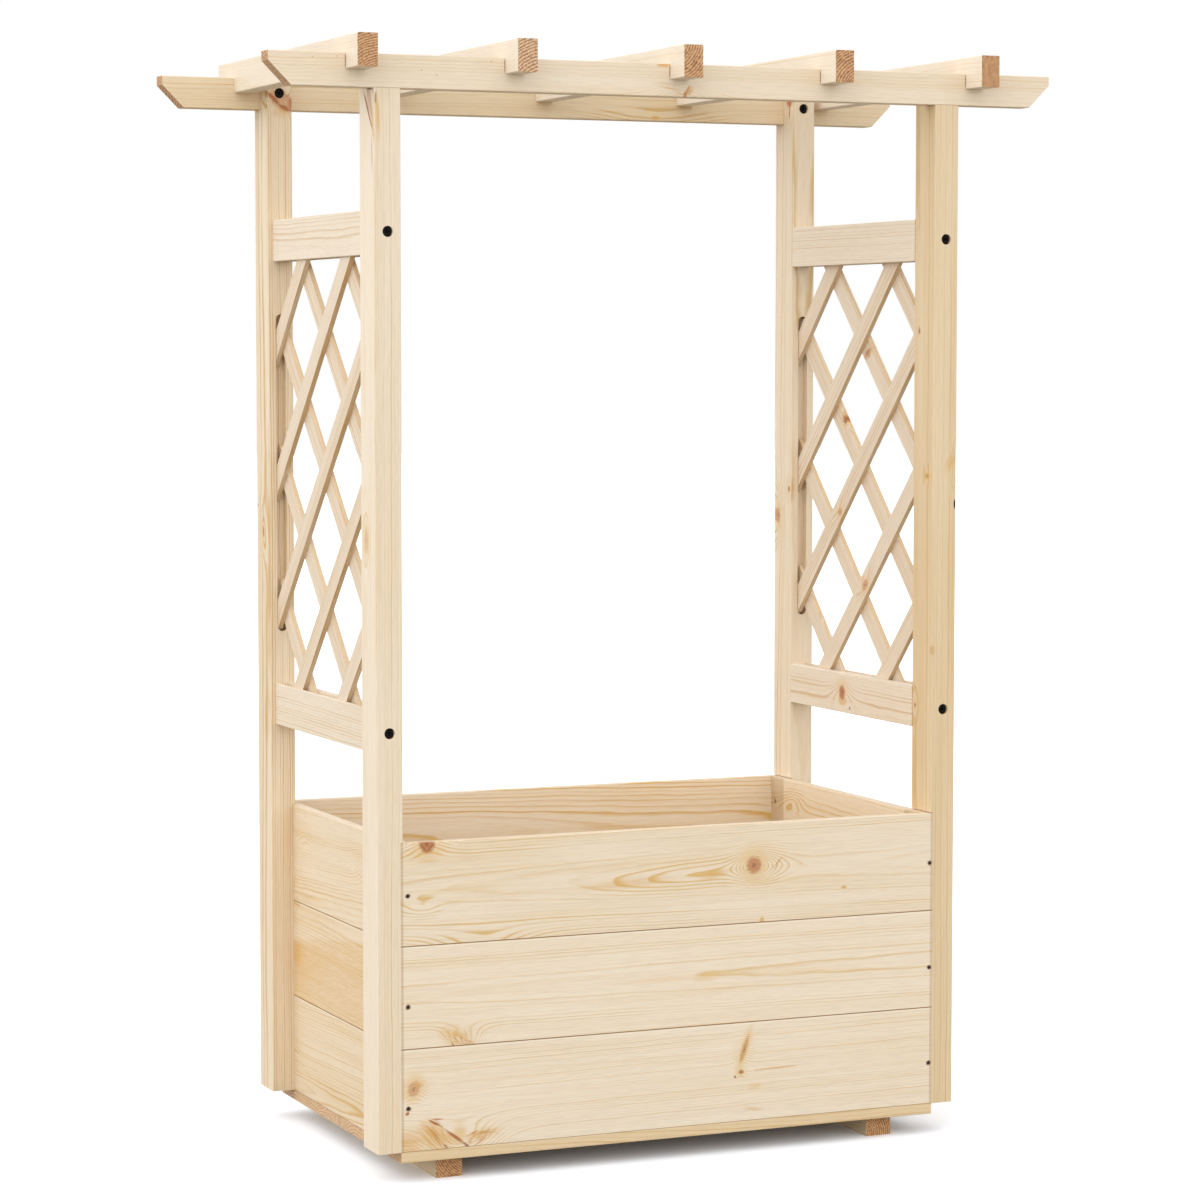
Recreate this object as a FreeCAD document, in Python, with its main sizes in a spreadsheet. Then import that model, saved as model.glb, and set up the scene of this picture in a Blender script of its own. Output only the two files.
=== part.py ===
"""A wooden planter box on two runners, with a trellis arch: posts, lattice ends, beams and rafters.

X runs along the beams, the front faces -Y and Z is up. The origin is on the ground, in the middle.
All sizes are in millimetres.
"""
import FreeCAD, Part
import os
import re

from FreeCAD import Rotation, Vector

# Driving sizes

SIZES = {
    # posts and the frame that they stand in, measured over the posts' outer faces
    "frame_length": 825,
    "frame_depth": 480,
    "post_width": 35,
    "post_depth": 55,
    "post_ease": 1.5,
    "housing_depth": 3.5,
    "housing_clearance": 1,
    # roof: the head height is the underside of the beams above the ground
    "head_height": 1382,
    "beam_length": 1100,
    "beam_height": 42,
    "beam_thickness": 26,
    "beam_bevel": 30,
    "rafter_length": 567,
    "rafter_width": 26.5,
    "rafter_height": 41.5,
    "rafter_notch": 20,
    "rafter_gap": 10.25,
    "rafter_clearance": 0.3,
    "second_rafter_shift": -6,
    "third_rafter_shift": 4,
    "fourth_rafter_shift": 2,
    "stick_ease": 1.2,
    # planter box, floor and runners
    "board_height": 131.7,
    "board_thickness": 14,
    "board_ease": 1,
    "floor_thickness": 14,
    "floor_gap": 2,
    "skid_width": 36,
    "skid_height": 27,
    "skid_setback": 18,
    "skid_inset": 71,
    # trellis ends: rails, grooves and lattice
    "bottom_rail_gap": 112,
    "lattice_height": 572.5,
    "rail_height": 56,
    "rail_thickness": 28,
    "groove_width": 14,
    "groove_depth": 12,
    "groove_stop": 71,
    "slat_width": 27.5,
    "slat_thickness": 6.5,
    "slat_entry": 9,
    "row_margin": 12.5,
    "column_margin": 9,
    # bolts of the rails and the beams
    "bolt_diameter": 6,
    "bolt_head_diameter": 13,
    "bolt_head_height": 5,
    "bolt_bore": 14,
    "bolt_sink": 3,
    "bolt_socket": 5,
    "bolt_socket_depth": 3,
    "rail_bolt_length": 90,
    "beam_bolt_length": 40,
    # wood screws
    "screw_diameter": 4.5,
    "screw_head_diameter": 9,
    "screw_head_height": 3.5,
    "screw_socket": 3.5,
    "screw_socket_depth": 2,
    "rafter_screw_length": 42,
    "rafter_screw_sink": 2,
    "post_screw_length": 34,
    "post_screw_rise": 30,
    "floor_screw_length": 30,
    "floor_screw_spread": 60,
    # nails and brads
    "nail_diameter": 2.6,
    "nail_head_diameter": 5,
    "nail_head_height": 1.2,
    "nail_sink": 0.6,
    "nail_length": 44,
    "nail_spread": 200,
    # the wall nails stand to the right of the short boards' middle, and below each row's
    "nail_shift": 2.5,
    "bottom_nail_drop": 10,
    "middle_nail_drop": 11.5,
    "top_nail_drop": 1.5,
    "brad_diameter": 1.6,
    "brad_head_diameter": 3,
    "brad_head_height": 0.8,
    "brad_length": 11,
    # play of a shank or a head in its hole, on the diameter
    "hole_clearance": 0.2,
}
BOARD_ROWS = 3
FLOOR_BOARDS = 4
RAFTERS = 5
SLATS = 5
OVERRUN = 1

# Levels and distances worked out from the driving sizes

FLOOR_TOP = "(skid_height + floor_thickness)"
BOX_TOP = f"({FLOOR_TOP} + {BOARD_ROWS} * board_height)"
BOX_HALF = "(frame_length / 2 - post_width + housing_depth)"
POST_LINE = "(frame_length / 2 - post_width / 2)"
POST_LENGTH = f"(head_height + beam_height - {FLOOR_TOP})"
CLEAR_HALF = "(frame_depth / 2 - post_depth)"
BEAM_LINE = "(frame_depth / 2 - beam_thickness / 2)"
RAFTER_LOW = "(head_height + beam_height - rafter_notch)"
RAFTER_HALF = "(frame_length / 2 + rafter_gap + rafter_width / 2)"
RAFTER_PITCH = f"(2 * {RAFTER_HALF} / {RAFTERS - 1})"
BOTTOM_RAIL_LOW = f"({BOX_TOP} + bottom_rail_gap)"
LATTICE_LOW = f"({BOTTOM_RAIL_LOW} + rail_height)"
LATTICE_HIGH = f"({LATTICE_LOW} + lattice_height)"
LATTICE_MIDDLE = f"({LATTICE_LOW} + lattice_height / 2)"
GROOVE_LOW = f"({LATTICE_LOW} + groove_stop)"
GROOVE_HIGH = f"({LATTICE_HIGH} - groove_stop)"
CROSSING_ROW = f"((lattice_height - 2 * row_margin) / {2 * (SLATS - 2)})"
CROSSING_COLUMN = f"((2 * {CLEAR_HALF} - 2 * column_margin) / {SLATS - 1})"
SLAT_ANGLE = f"atan({CROSSING_ROW} / {CROSSING_COLUMN})"
SKID_LINE = f"({BOX_HALF} - skid_inset)"
FLOOR_BOARD = f"((frame_depth - {FLOOR_BOARDS - 1} * floor_gap) / {FLOOR_BOARDS})"
SIDE_LINE = f"({BOX_HALF} - board_thickness / 2)"
WALL_LINE = "(frame_depth / 2 - board_thickness / 2)"
BOLT_SEAT = "(bolt_sink + bolt_head_height)"
BOLT_HOLE = "(bolt_diameter + hole_clearance)"
SCREW_HOLE = "(screw_diameter + hole_clearance)"
SCREW_SEAT = "(screw_head_diameter + hole_clearance)"
NAIL_HOLE = "(nail_diameter + hole_clearance)"
NAIL_SEAT = "(nail_head_diameter + hole_clearance)"
BRAD_HOLE = "(brad_diameter + hole_clearance)"
BRAD_SEAT = "(brad_head_diameter + hole_clearance)"

FACING = {
    "+x": Rotation(Vector(0, 1, 0), 90),
    "-x": Rotation(Vector(0, 1, 0), -90),
    "+y": Rotation(Vector(1, 0, 0), -90),
    "-y": Rotation(Vector(1, 0, 0), 90),
    "+z": Rotation(),
    "-z": Rotation(Vector(1, 0, 0), 180),
}
ALONG = {"x": Vector(1, 0, 0), "y": Vector(0, 1, 0), "z": Vector(0, 0, 1)}

doc = FreeCAD.newDocument("trellis_planter")
sheet = doc.addObject("Spreadsheet::Sheet", "sizes")
for row, (alias, value) in enumerate(SIZES.items(), 1):
    sheet.set(f"A{row}", alias)
    sheet.set(f"B{row}", str(value))
    sheet.setAlias(f"B{row}", alias)
doc.recompute()

pieces = {}


# Helpers

def formula(value):
    """A formula with the sheet's name written before each size."""
    return re.sub(r"[a-z_]+", lambda word: f"sizes.{word[0]}" if word[0] in SIZES else word[0], str(value))


def bind(thing, **values):
    """Bind properties of an object to formulas."""
    for name, value in values.items():
        thing.setExpression(name, formula(value))


def place(thing, at, facing=None):
    """Turn an object to face a direction and bind its position to three formulas."""
    if facing is not None:
        thing.Placement = FreeCAD.Placement(Vector(), facing)
    for axis, value in zip("xyz", at):
        thing.setExpression(f"Placement.Base.{axis}", formula(value))


def new_body(name):
    body = doc.addObject("PartDesign::Body", name)
    body.Label = name
    return body


def keep(name, thing):
    """Note a finished sub-part under the name of its file."""
    thing.Label = name
    pieces[name] = thing
    return thing


def blank(body, low, size):
    """The stick or board that a piece is cut from."""
    box = body.newObject("PartDesign::AdditiveBox", "blank")
    bind(box, Length=size[0], Width=size[1], Height=size[2])
    place(box, low)


def ease(body, axis, radius):
    """Round the long edges of a stick or board, as they come from the planer."""
    doc.recompute()
    base = body.Tip
    edges = []
    for number, edge in enumerate(base.Shape.Edges, 1):
        if abs(edge.tangentAt(edge.FirstParameter).dot(ALONG[axis])) > 0.99:
            edges.append(f"Edge{number}")
    fillet = body.newObject("PartDesign::Fillet", "eased")
    fillet.Base = (base, edges)
    bind(fillet, Radius=radius)


def slot(body, low, size):
    """Cut a box-shaped notch, groove or housing."""
    box = body.newObject("PartDesign::SubtractiveBox", "slot")
    bind(box, Length=size[0], Width=size[1], Height=size[2])
    place(box, low)


def drill(body, mouth, facing, diameter, depth):
    """Drill a round hole from its mouth."""
    hole = body.newObject("PartDesign::SubtractiveCylinder", "hole")
    bind(hole, Radius=f"{diameter} / 2", Height=depth)
    place(hole, mouth, FACING[facing])


def fastener(name, head, head_height, shank, length, socket=None, socket_depth=None):
    """A bolt, screw, nail or brad: its head's top is at the origin and its shank runs along +Z."""
    body = new_body(name)
    cap = body.newObject("PartDesign::AdditiveCylinder", "head")
    bind(cap, Radius=f"{head} / 2", Height=head_height)
    stem = body.newObject("PartDesign::AdditiveCylinder", "shank")
    bind(stem, Radius=f"{shank} / 2", Height=f"{head_height} + {length}")
    if socket is not None:
        key = body.newObject("PartDesign::SubtractivePrism", "socket")
        key.Polygon = 6
        bind(key, Circumradius=f"{socket} / sqrt(3)", Height=socket_depth)
    return body


def group(name, model, spots):
    """Set copies of one fastener at all its spots, as one node of separate solids."""
    copies = []
    for at, facing in spots:
        copy = doc.addObject("App::Link", f"{name}_copy")
        copy.LinkedObject = model
        copy.LinkTransform = False
        place(copy, at, FACING[facing])
        copies.append(copy)
    compound = doc.addObject("Part::Compound", name)
    compound.Links = copies
    return keep(name, compound)


def signed(side, value):
    """A formula on the right (1) or on the left (-1), or at the rear (1) or the front (-1)."""
    return f"({side} * {value})"


def span_low(side, outer, thickness):
    """The lower corner of a piece whose outer face lies at a distance from the middle, on one side."""
    return f"({outer} - {thickness})" if side > 0 else f"(-{outer})"


# Posts

def post(name, side_x, side_y):
    """Local x runs across the post, y from its outer face inwards, and z up from its foot."""
    body = new_body(name)
    blank(body, ("-post_width / 2", 0, 0), ("post_width", "post_depth", POST_LENGTH))
    ease(body, "z", "post_ease")
    # notch for the beam
    slot(body, ("-post_width", -OVERRUN, f"{POST_LENGTH} - beam_height"),
         ("2 * post_width", f"beam_thickness + {OVERRUN}", f"beam_height + {OVERRUN}"))
    # housing for the end of the box
    inner = side_x * side_y
    housing_low = "post_width / 2 - housing_depth" if inner > 0 else f"-post_width / 2 - {OVERRUN}"
    slot(body, (housing_low, -OVERRUN, -OVERRUN),
         (f"housing_depth + {OVERRUN}", f"post_depth + {2 * OVERRUN}",
          f"{BOARD_ROWS} * board_height + housing_clearance + {OVERRUN}"))
    # stopped groove for the lattice, with round ends
    groove_floor = "post_depth - groove_depth"
    slot(body, ("-groove_width / 2", groove_floor, f"{GROOVE_LOW} + groove_width / 2 - {FLOOR_TOP}"),
         ("groove_width", f"groove_depth + {OVERRUN}", f"{GROOVE_HIGH} - {GROOVE_LOW} - groove_width"))
    for level in (f"{GROOVE_LOW} + groove_width / 2", f"{GROOVE_HIGH} - groove_width / 2"):
        drill(body, (0, groove_floor, f"{level} - {FLOOR_TOP}"), "+y", "groove_width", "groove_depth")
    # bolts into the rails, from the outer face
    for rail_low in (BOTTOM_RAIL_LOW, LATTICE_HIGH):
        level = f"{rail_low} + rail_height / 2 - {FLOOR_TOP}"
        drill(body, (0, 0, level), "+y", "bolt_bore", BOLT_SEAT)
        drill(body, (0, 0, level), "+y", BOLT_HOLE, "post_depth")
    # bolt into the beam, from the inner face
    level = f"{POST_LENGTH} - beam_height / 2"
    drill(body, (0, "post_depth", level), "-y", "bolt_bore", BOLT_SEAT)
    drill(body, (0, "post_depth", level), "-y", BOLT_HOLE, "post_depth - beam_thickness")
    # screws from inside the box
    for row in range(BOARD_ROWS):
        level = f"{row + 0.5} * board_height + post_screw_rise"
        mouth = signed(inner, "(post_width / 2 - housing_depth)")
        drill(body, (mouth, "post_depth / 2", level), "-x" if inner > 0 else "+x",
              SCREW_HOLE, "screw_head_height + post_screw_length - board_thickness")
    place(body, (signed(side_x, POST_LINE), signed(side_y, "frame_depth / 2"), FLOOR_TOP),
          Rotation(Vector(0, 0, 1), 0 if side_y < 0 else 180))
    keep(name, body)


# Roof: beams and rafters

def rafter_line(number):
    """The middle of a rafter: evenly spaced from just outside the posts, with the shifts of the inner ones."""
    shift = {1: "second_rafter_shift", 2: "third_rafter_shift", 3: "fourth_rafter_shift"}.get(number, "0")
    return f"({number} * {RAFTER_PITCH} - {RAFTER_HALF} + {shift})"


def beam(name, side):
    """A beam of the roof, flush with the outer faces of its two posts."""
    body = new_body(name)
    blank(body, ("-beam_length / 2", "-beam_thickness / 2", 0),
          ("beam_length", "beam_thickness", "beam_height"))
    ease(body, "x", "stick_ease")
    # the bevels under the ends: boxes turned by 45 degrees, with one face on the bevel
    corners = (
        (45, "beam_length / 2 - 1.5 * beam_bevel", "-0.5 * beam_bevel"),
        (135, "-beam_length / 2 - 0.5 * beam_bevel", "1.5 * beam_bevel"),
    )
    for angle, along, up in corners:
        bevel = body.newObject("PartDesign::SubtractiveBox", "bevel")
        bind(bevel, Length="2 * beam_bevel", Width="2 * beam_thickness", Height="3 * beam_bevel")
        place(bevel, (along, "-beam_thickness", up), Rotation(Vector(0, 1, 0), angle))
    for side_x in (-1, 1):
        drill(body, (signed(side_x, POST_LINE), f"{-side} * beam_thickness / 2", "beam_height / 2"),
              "-y" if side < 0 else "+y", BOLT_HOLE,
              f"{BOLT_SEAT} + beam_bolt_length - post_depth + beam_thickness")
    for number in range(RAFTERS):
        drill(body, (rafter_line(number), 0, "beam_height"), "-z", SCREW_HOLE,
              "rafter_screw_sink + screw_head_height + rafter_screw_length - rafter_height + rafter_notch")
    place(body, (0, signed(side, BEAM_LINE), "head_height"))
    keep(name, body)


def rafter(number):
    """A rafter, notched over both beams."""
    name = f"rafter_{number + 1}"
    body = new_body(name)
    blank(body, ("-rafter_width / 2", "-rafter_length / 2", 0),
          ("rafter_width", "rafter_length", "rafter_height"))
    ease(body, "y", "stick_ease")
    for side in (-1, 1):
        notch_low = f"{signed(side, BEAM_LINE)} - beam_thickness / 2 - rafter_clearance"
        slot(body, ("-rafter_width", notch_low, -OVERRUN),
             ("2 * rafter_width", "beam_thickness + 2 * rafter_clearance", f"rafter_notch + {OVERRUN}"))
        mouth = (0, signed(side, BEAM_LINE), "rafter_height")
        drill(body, mouth, "-z", SCREW_SEAT, "rafter_screw_sink + screw_head_height")
        drill(body, mouth, "-z", SCREW_HOLE, "rafter_height")
    place(body, (rafter_line(number), 0, RAFTER_LOW))
    keep(name, body)


# Trellis ends: rails and lattice

def rail(name, side, low, groove_low):
    """A rail between a front and a rear post, flush with the posts on the inside."""
    body = new_body(name)
    outer = "(frame_length / 2 - post_width + rail_thickness)"
    blank(body, (span_low(side, outer, "rail_thickness"), f"-{CLEAR_HALF}", 0),
          ("rail_thickness", f"2 * {CLEAR_HALF}", "rail_height"))
    ease(body, "y", "stick_ease")
    slot(body, (f"{signed(side, POST_LINE)} - groove_width / 2", f"-{CLEAR_HALF} - {OVERRUN}", groove_low),
         ("groove_width", f"2 * {CLEAR_HALF} + {2 * OVERRUN}", f"groove_depth + {OVERRUN}"))
    for end in (-1, 1):
        drill(body, (signed(side, POST_LINE), signed(end, CLEAR_HALF), "rail_height / 2"),
              "+y" if end < 0 else "-y", BOLT_HOLE,
              f"{BOLT_SEAT} + rail_bolt_length - post_depth")
    place(body, (0, 0, low))
    keep(name, body)


def crossings(number):
    """The slats of the other layer that a slat is fixed to, in its own count from the middle."""
    reach = SLATS // 2
    return [other for other in range(-reach, reach + 1)
            if abs(other - number) <= 1 and abs(other + number) < 2 * reach]


def crossing_point(rising, falling):
    """Where a rising and a falling slat cross, in the plane of the panel."""
    return (f"{rising - falling} * {CROSSING_COLUMN}",
            f"{LATTICE_MIDDLE} + {rising + falling} * {CROSSING_ROW}")


def lattice_outline(side):
    """The space that the slats of one panel fill: the opening between the rails, and the grooves."""
    wide = "2 * slat_thickness"
    low = f"{signed(side, POST_LINE)} - slat_thickness"
    field = doc.addObject("Part::Box", "lattice_field")
    bind(field, Length=wide, Width=f"2 * {CLEAR_HALF}", Height="groove_depth + lattice_height + slat_entry")
    place(field, (low, f"-{CLEAR_HALF}", f"{LATTICE_LOW} - groove_depth"))
    reach = f"({CLEAR_HALF} + slat_entry)"
    tongue = doc.addObject("Part::Box", "lattice_tongue")
    bind(tongue, Length=wide, Width=f"2 * {reach}", Height=f"{GROOVE_HIGH} - {GROOVE_LOW} - groove_width")
    place(tongue, (low, f"-{reach}", f"{GROOVE_LOW} + groove_width / 2"))
    outline = doc.addObject("Part::Fuse", "lattice_outline")
    outline.Base = field
    outline.Tool = tongue
    return outline


def slat(name, side, number, rises, outline):
    """One slat: a long strip, turned to its angle, cut to the panel's outline and drilled for its brads."""
    turn = -1 if rises else 1
    angle = f"({turn} * {SLAT_ANGLE})"
    long_half = f"({CLEAR_HALF} + lattice_height / 2)"
    plane = signed(side, POST_LINE)
    strip = doc.addObject("Part::Box", "strip")
    bind(strip, Length="slat_thickness", Width=f"2 * {long_half}", Height="slat_width")
    place(strip, (
        f"{plane} - slat_thickness" if rises else plane,
        f"slat_width / 2 * sin({angle}) - {long_half} * cos({angle})",
        f"{LATTICE_MIDDLE} + {2 * number} * {CROSSING_ROW}"
        f" - {long_half} * sin({angle}) - slat_width / 2 * cos({angle})",
    ), Rotation(Vector(1, 0, 0), 1))
    strip.setExpression("Placement.Rotation.Angle", formula(angle))
    cut = doc.addObject("Part::Common", "cut_strip")
    cut.Base = strip
    cut.Tool = outline
    holes = []
    for other in crossings(number):
        at = crossing_point(number, other) if rises else crossing_point(other, number)
        holes.append(bore(f"{plane} + slat_thickness", at, BRAD_HOLE, "brad_head_height + brad_length"))
        if not rises:
            holes.append(bore(f"{plane} + slat_thickness", at, BRAD_SEAT,
                              "brad_head_height"))
    tools = doc.addObject("Part::Compound", "brad_holes")
    tools.Links = holes
    drilled = doc.addObject("Part::Cut", name)
    drilled.Base = cut
    drilled.Tool = tools
    keep(name, drilled)


def bore(mouth, at, diameter, depth):
    """A round cutter that enters the lattice along -X."""
    cutter = doc.addObject("Part::Cylinder", "brad_hole")
    bind(cutter, Radius=f"{diameter} / 2", Height=depth)
    place(cutter, (mouth, *at), FACING["-x"])
    return cutter


# Planter box: walls, floor and runners

def row_name(row):
    return ("bottom", "middle", "top")[row]


def nail_level(row):
    """How high the wall nails of a row stand in their boards."""
    return f"(board_height / 2 - {row_name(row)}_nail_drop)"


def long_board(name, side, row):
    """A board of the front or rear wall, over the ends of the short boards."""
    body = new_body(name)
    blank(body, (f"-{BOX_HALF}", "-board_thickness / 2", 0),
          (f"2 * {BOX_HALF}", "board_thickness", "board_height"))
    ease(body, "x", "board_ease")
    inward = "+y" if side < 0 else "-y"
    for end in (-1, 1):
        mouth = (f"{signed(end, SIDE_LINE)} + nail_shift", f"{side} * board_thickness / 2", nail_level(row))
        drill(body, mouth, inward, NAIL_SEAT, "nail_sink + nail_head_height")
        drill(body, mouth, inward, NAIL_HOLE, "board_thickness")
    if row == 0:
        for step in (-1, 0, 1):
            drill(body, (f"{step} * nail_spread", 0, 0), "+z", NAIL_HOLE,
                  "nail_head_height + nail_length - floor_thickness")
    place(body, (0, signed(side, WALL_LINE), f"{FLOOR_TOP} + {row} * board_height"))
    keep(name, body)


def short_board(name, side, row):
    """A board of the left or right wall, between the long boards."""
    body = new_body(name)
    half = "(frame_depth / 2 - board_thickness)"
    blank(body, ("-board_thickness / 2", f"-{half}", 0), ("board_thickness", f"2 * {half}", "board_height"))
    ease(body, "y", "board_ease")
    outward = "+x" if side > 0 else "-x"
    for end in (-1, 1):
        drill(body, ("nail_shift", signed(end, half), nail_level(row)), "+y" if end < 0 else "-y", NAIL_HOLE,
              "nail_sink + nail_head_height + nail_length - board_thickness")
        mouth = (f"{-side} * board_thickness / 2", signed(end, "(frame_depth / 2 - post_depth / 2)"),
                 "board_height / 2 + post_screw_rise")
        drill(body, mouth, outward, SCREW_SEAT, "screw_head_height")
        drill(body, mouth, outward, SCREW_HOLE, "board_thickness")
    if row == 0:
        for number in range(FLOOR_BOARDS):
            drill(body, (0, floor_line(number), 0), "+z", NAIL_HOLE,
                  "nail_head_height + nail_length - floor_thickness")
    place(body, (signed(side, SIDE_LINE), 0, f"{FLOOR_TOP} + {row} * board_height"))
    keep(name, body)


def floor_line(number):
    """The middle of a floor board, counted from the front."""
    return f"(-frame_depth / 2 + {FLOOR_BOARD} / 2 + {number} * ({FLOOR_BOARD} + floor_gap))"


def floor_nails(number):
    """Where nails go up through a floor board into the walls."""
    spots = [(signed(side, SIDE_LINE), floor_line(number)) for side in (-1, 1)]
    if number in (0, FLOOR_BOARDS - 1):
        side = -1 if number == 0 else 1
        spots += [(f"{step} * nail_spread", signed(side, WALL_LINE)) for step in (-1, 0, 1)]
    return spots


def floor_screws(number):
    """Where screws go down through a floor board into the runners."""
    return [(signed(side, SKID_LINE), f"{floor_line(number)} + {end} * floor_screw_spread / 2")
            for side in (-1, 1) for end in (-1, 1)]


def floor_board(number):
    """A board of the floor, under the walls and over the runners."""
    name = f"floor_board_{number + 1}"
    body = new_body(name)
    blank(body, (f"-{BOX_HALF}", f"-{FLOOR_BOARD} / 2", 0),
          (f"2 * {BOX_HALF}", FLOOR_BOARD, "floor_thickness"))
    ease(body, "x", "board_ease")
    for across, depth in floor_screws(number):
        mouth = (across, f"{depth} - {floor_line(number)}", "floor_thickness")
        drill(body, mouth, "-z", SCREW_SEAT, "screw_head_height")
        drill(body, mouth, "-z", SCREW_HOLE, "floor_thickness")
    for across, depth in floor_nails(number):
        mouth = (across, f"{depth} - {floor_line(number)}", 0)
        drill(body, mouth, "+z", NAIL_SEAT, "nail_head_height")
        drill(body, mouth, "+z", NAIL_HOLE, "floor_thickness")
    place(body, (0, floor_line(number), "skid_height"))
    keep(name, body)


def skid(name, side):
    """A runner under the floor, from front to rear."""
    body = new_body(name)
    half = "(frame_depth / 2 - skid_setback)"
    blank(body, ("-skid_width / 2", f"-{half}", 0), ("skid_width", f"2 * {half}", "skid_height"))
    ease(body, "y", "stick_ease")
    for number in range(FLOOR_BOARDS):
        for end in (-1, 1):
            drill(body, (0, f"{floor_line(number)} + {end} * floor_screw_spread / 2", "skid_height"), "-z",
                  SCREW_HOLE, "screw_head_height + floor_screw_length - floor_thickness")
    place(body, (signed(side, SKID_LINE), 0, 0))
    keep(name, body)


# Build the wooden pieces

SIDES = {"left": -1, "right": 1}
ENDS = {"front": -1, "rear": 1}

for end, side_y in ENDS.items():
    for side, side_x in SIDES.items():
        post(f"post_{end}_{side}", side_x, side_y)
    beam(f"beam_{end}", side_y)
    for row in range(BOARD_ROWS):
        long_board(f"{end}_board_{row_name(row)}", side_y, row)
for number in range(RAFTERS):
    rafter(number)
for side, side_x in SIDES.items():
    rail(f"trellis_rail_bottom_{side}", side_x, BOTTOM_RAIL_LOW, "rail_height - groove_depth")
    rail(f"trellis_rail_top_{side}", side_x, LATTICE_HIGH, f"-{OVERRUN}")
    outline = lattice_outline(side_x)
    for number in range(SLATS):
        step = number - SLATS // 2
        slat(f"lattice_{side}_rising_{number + 1}", side_x, step, True, outline)
        slat(f"lattice_{side}_falling_{number + 1}", side_x, step, False, outline)
    for row in range(BOARD_ROWS):
        short_board(f"{side}_board_{row_name(row)}", side_x, row)
    skid(f"skid_{side}", side_x)
for number in range(FLOOR_BOARDS):
    floor_board(number)

# Build the fasteners

bolt_head = ("bolt_head_diameter", "bolt_head_height", "bolt_diameter")
screw_head = ("screw_head_diameter", "screw_head_height", "screw_diameter")
screw_key = ("screw_socket", "screw_socket_depth")
rail_bolt = fastener("rail_bolt", *bolt_head, "rail_bolt_length", "bolt_socket", "bolt_socket_depth")
beam_bolt = fastener("beam_bolt", *bolt_head, "beam_bolt_length", "bolt_socket", "bolt_socket_depth")
rafter_screw = fastener("rafter_screw", *screw_head, "rafter_screw_length", *screw_key)
post_screw = fastener("post_screw", *screw_head, "post_screw_length", *screw_key)
floor_screw = fastener("floor_screw", *screw_head, "floor_screw_length", *screw_key)
wall_nail = fastener("wall_nail", "nail_head_diameter", "nail_head_height", "nail_diameter", "nail_length")
brad = fastener("brad", "brad_head_diameter", "brad_head_height", "brad_diameter", "brad_length")

corners = [(side_x, side_y) for side_y in ENDS.values() for side_x in SIDES.values()]
spots = {name: [] for name in ("rail", "beam", "rafter", "post", "floor", "nail", "brad")}
for side_x, side_y in corners:
    inward = "+y" if side_y < 0 else "-y"
    outward = "-y" if side_y < 0 else "+y"
    for rail_low in (BOTTOM_RAIL_LOW, LATTICE_HIGH):
        spots["rail"].append(((signed(side_x, POST_LINE), signed(side_y, "(frame_depth / 2 - bolt_sink)"),
                               f"{rail_low} + rail_height / 2"), inward))
    spots["beam"].append(((signed(side_x, POST_LINE), signed(side_y, f"({CLEAR_HALF} + bolt_sink)"),
                           "head_height + beam_height / 2"), outward))
    for row in range(BOARD_ROWS):
        low = f"{FLOOR_TOP} + {row} * board_height"
        spots["nail"].append(((f"{signed(side_x, SIDE_LINE)} + nail_shift",
                               signed(side_y, "(frame_depth / 2 - nail_sink)"),
                               f"{low} + {nail_level(row)}"), inward))
        spots["post"].append(((signed(side_x, f"({BOX_HALF} - board_thickness)"),
                               signed(side_y, "(frame_depth / 2 - post_depth / 2)"),
                               f"{low} + board_height / 2 + post_screw_rise"), "+x" if side_x > 0 else "-x"))
for number in range(RAFTERS):
    for side_y in ENDS.values():
        spots["rafter"].append(((rafter_line(number), signed(side_y, BEAM_LINE),
                                 f"{RAFTER_LOW} + rafter_height - rafter_screw_sink"), "-z"))
for number in range(FLOOR_BOARDS):
    spots["nail"] += [((*at, "skid_height"), "+z") for at in floor_nails(number)]
    spots["floor"] += [((*at, FLOOR_TOP), "-z") for at in floor_screws(number)]
for side_x in SIDES.values():
    face = f"{signed(side_x, POST_LINE)} + slat_thickness"
    for step in range(-(SLATS // 2), SLATS // 2 + 1):
        spots["brad"] += [((face, *crossing_point(step, other)), "-x") for other in crossings(step)]

group("rail_bolts", rail_bolt, spots["rail"])
group("beam_bolts", beam_bolt, spots["beam"])
group("rafter_screws", rafter_screw, spots["rafter"])
group("post_screws", post_screw, spots["post"])
group("floor_screws", floor_screw, spots["floor"])
group("wall_nails", wall_nail, spots["nail"])
group("lattice_brads", brad, spots["brad"])

# Check the document and write the sub-parts

doc.recompute()
for thing in doc.Objects:
    if {"Invalid", "Error"} & set(thing.State):
        raise RuntimeError(f"{thing.Label} failed: {thing.State}")
for name, thing in pieces.items():
    if thing.Shape.isNull() or not thing.Shape.isValid():
        raise RuntimeError(f"{name} has no valid shape")

os.makedirs("parts", exist_ok=True)
for name, thing in pieces.items():
    thing.Shape.exportStep(f"parts/{name}.step")
    box = thing.Shape.BoundBox
    print(f"{name}: {len(thing.Shape.Solids)} solid(s), volume {thing.Shape.Volume:.0f},"
          f" x {box.XMin:.1f} to {box.XMax:.1f}, y {box.YMin:.1f} to {box.YMax:.1f},"
          f" z {box.ZMin:.1f} to {box.ZMax:.1f}")
print(f"{len(pieces)} sub-parts")
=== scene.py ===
"""Looks of a wooden planter box with a trellis arch: planed softwood, black bolts, screws and nails.

All lengths are in metres. X runs along the beams, the front faces -Y and Z is up.
"""
import math
import random

import bpy
from mathutils import Matrix, Vector


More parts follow.
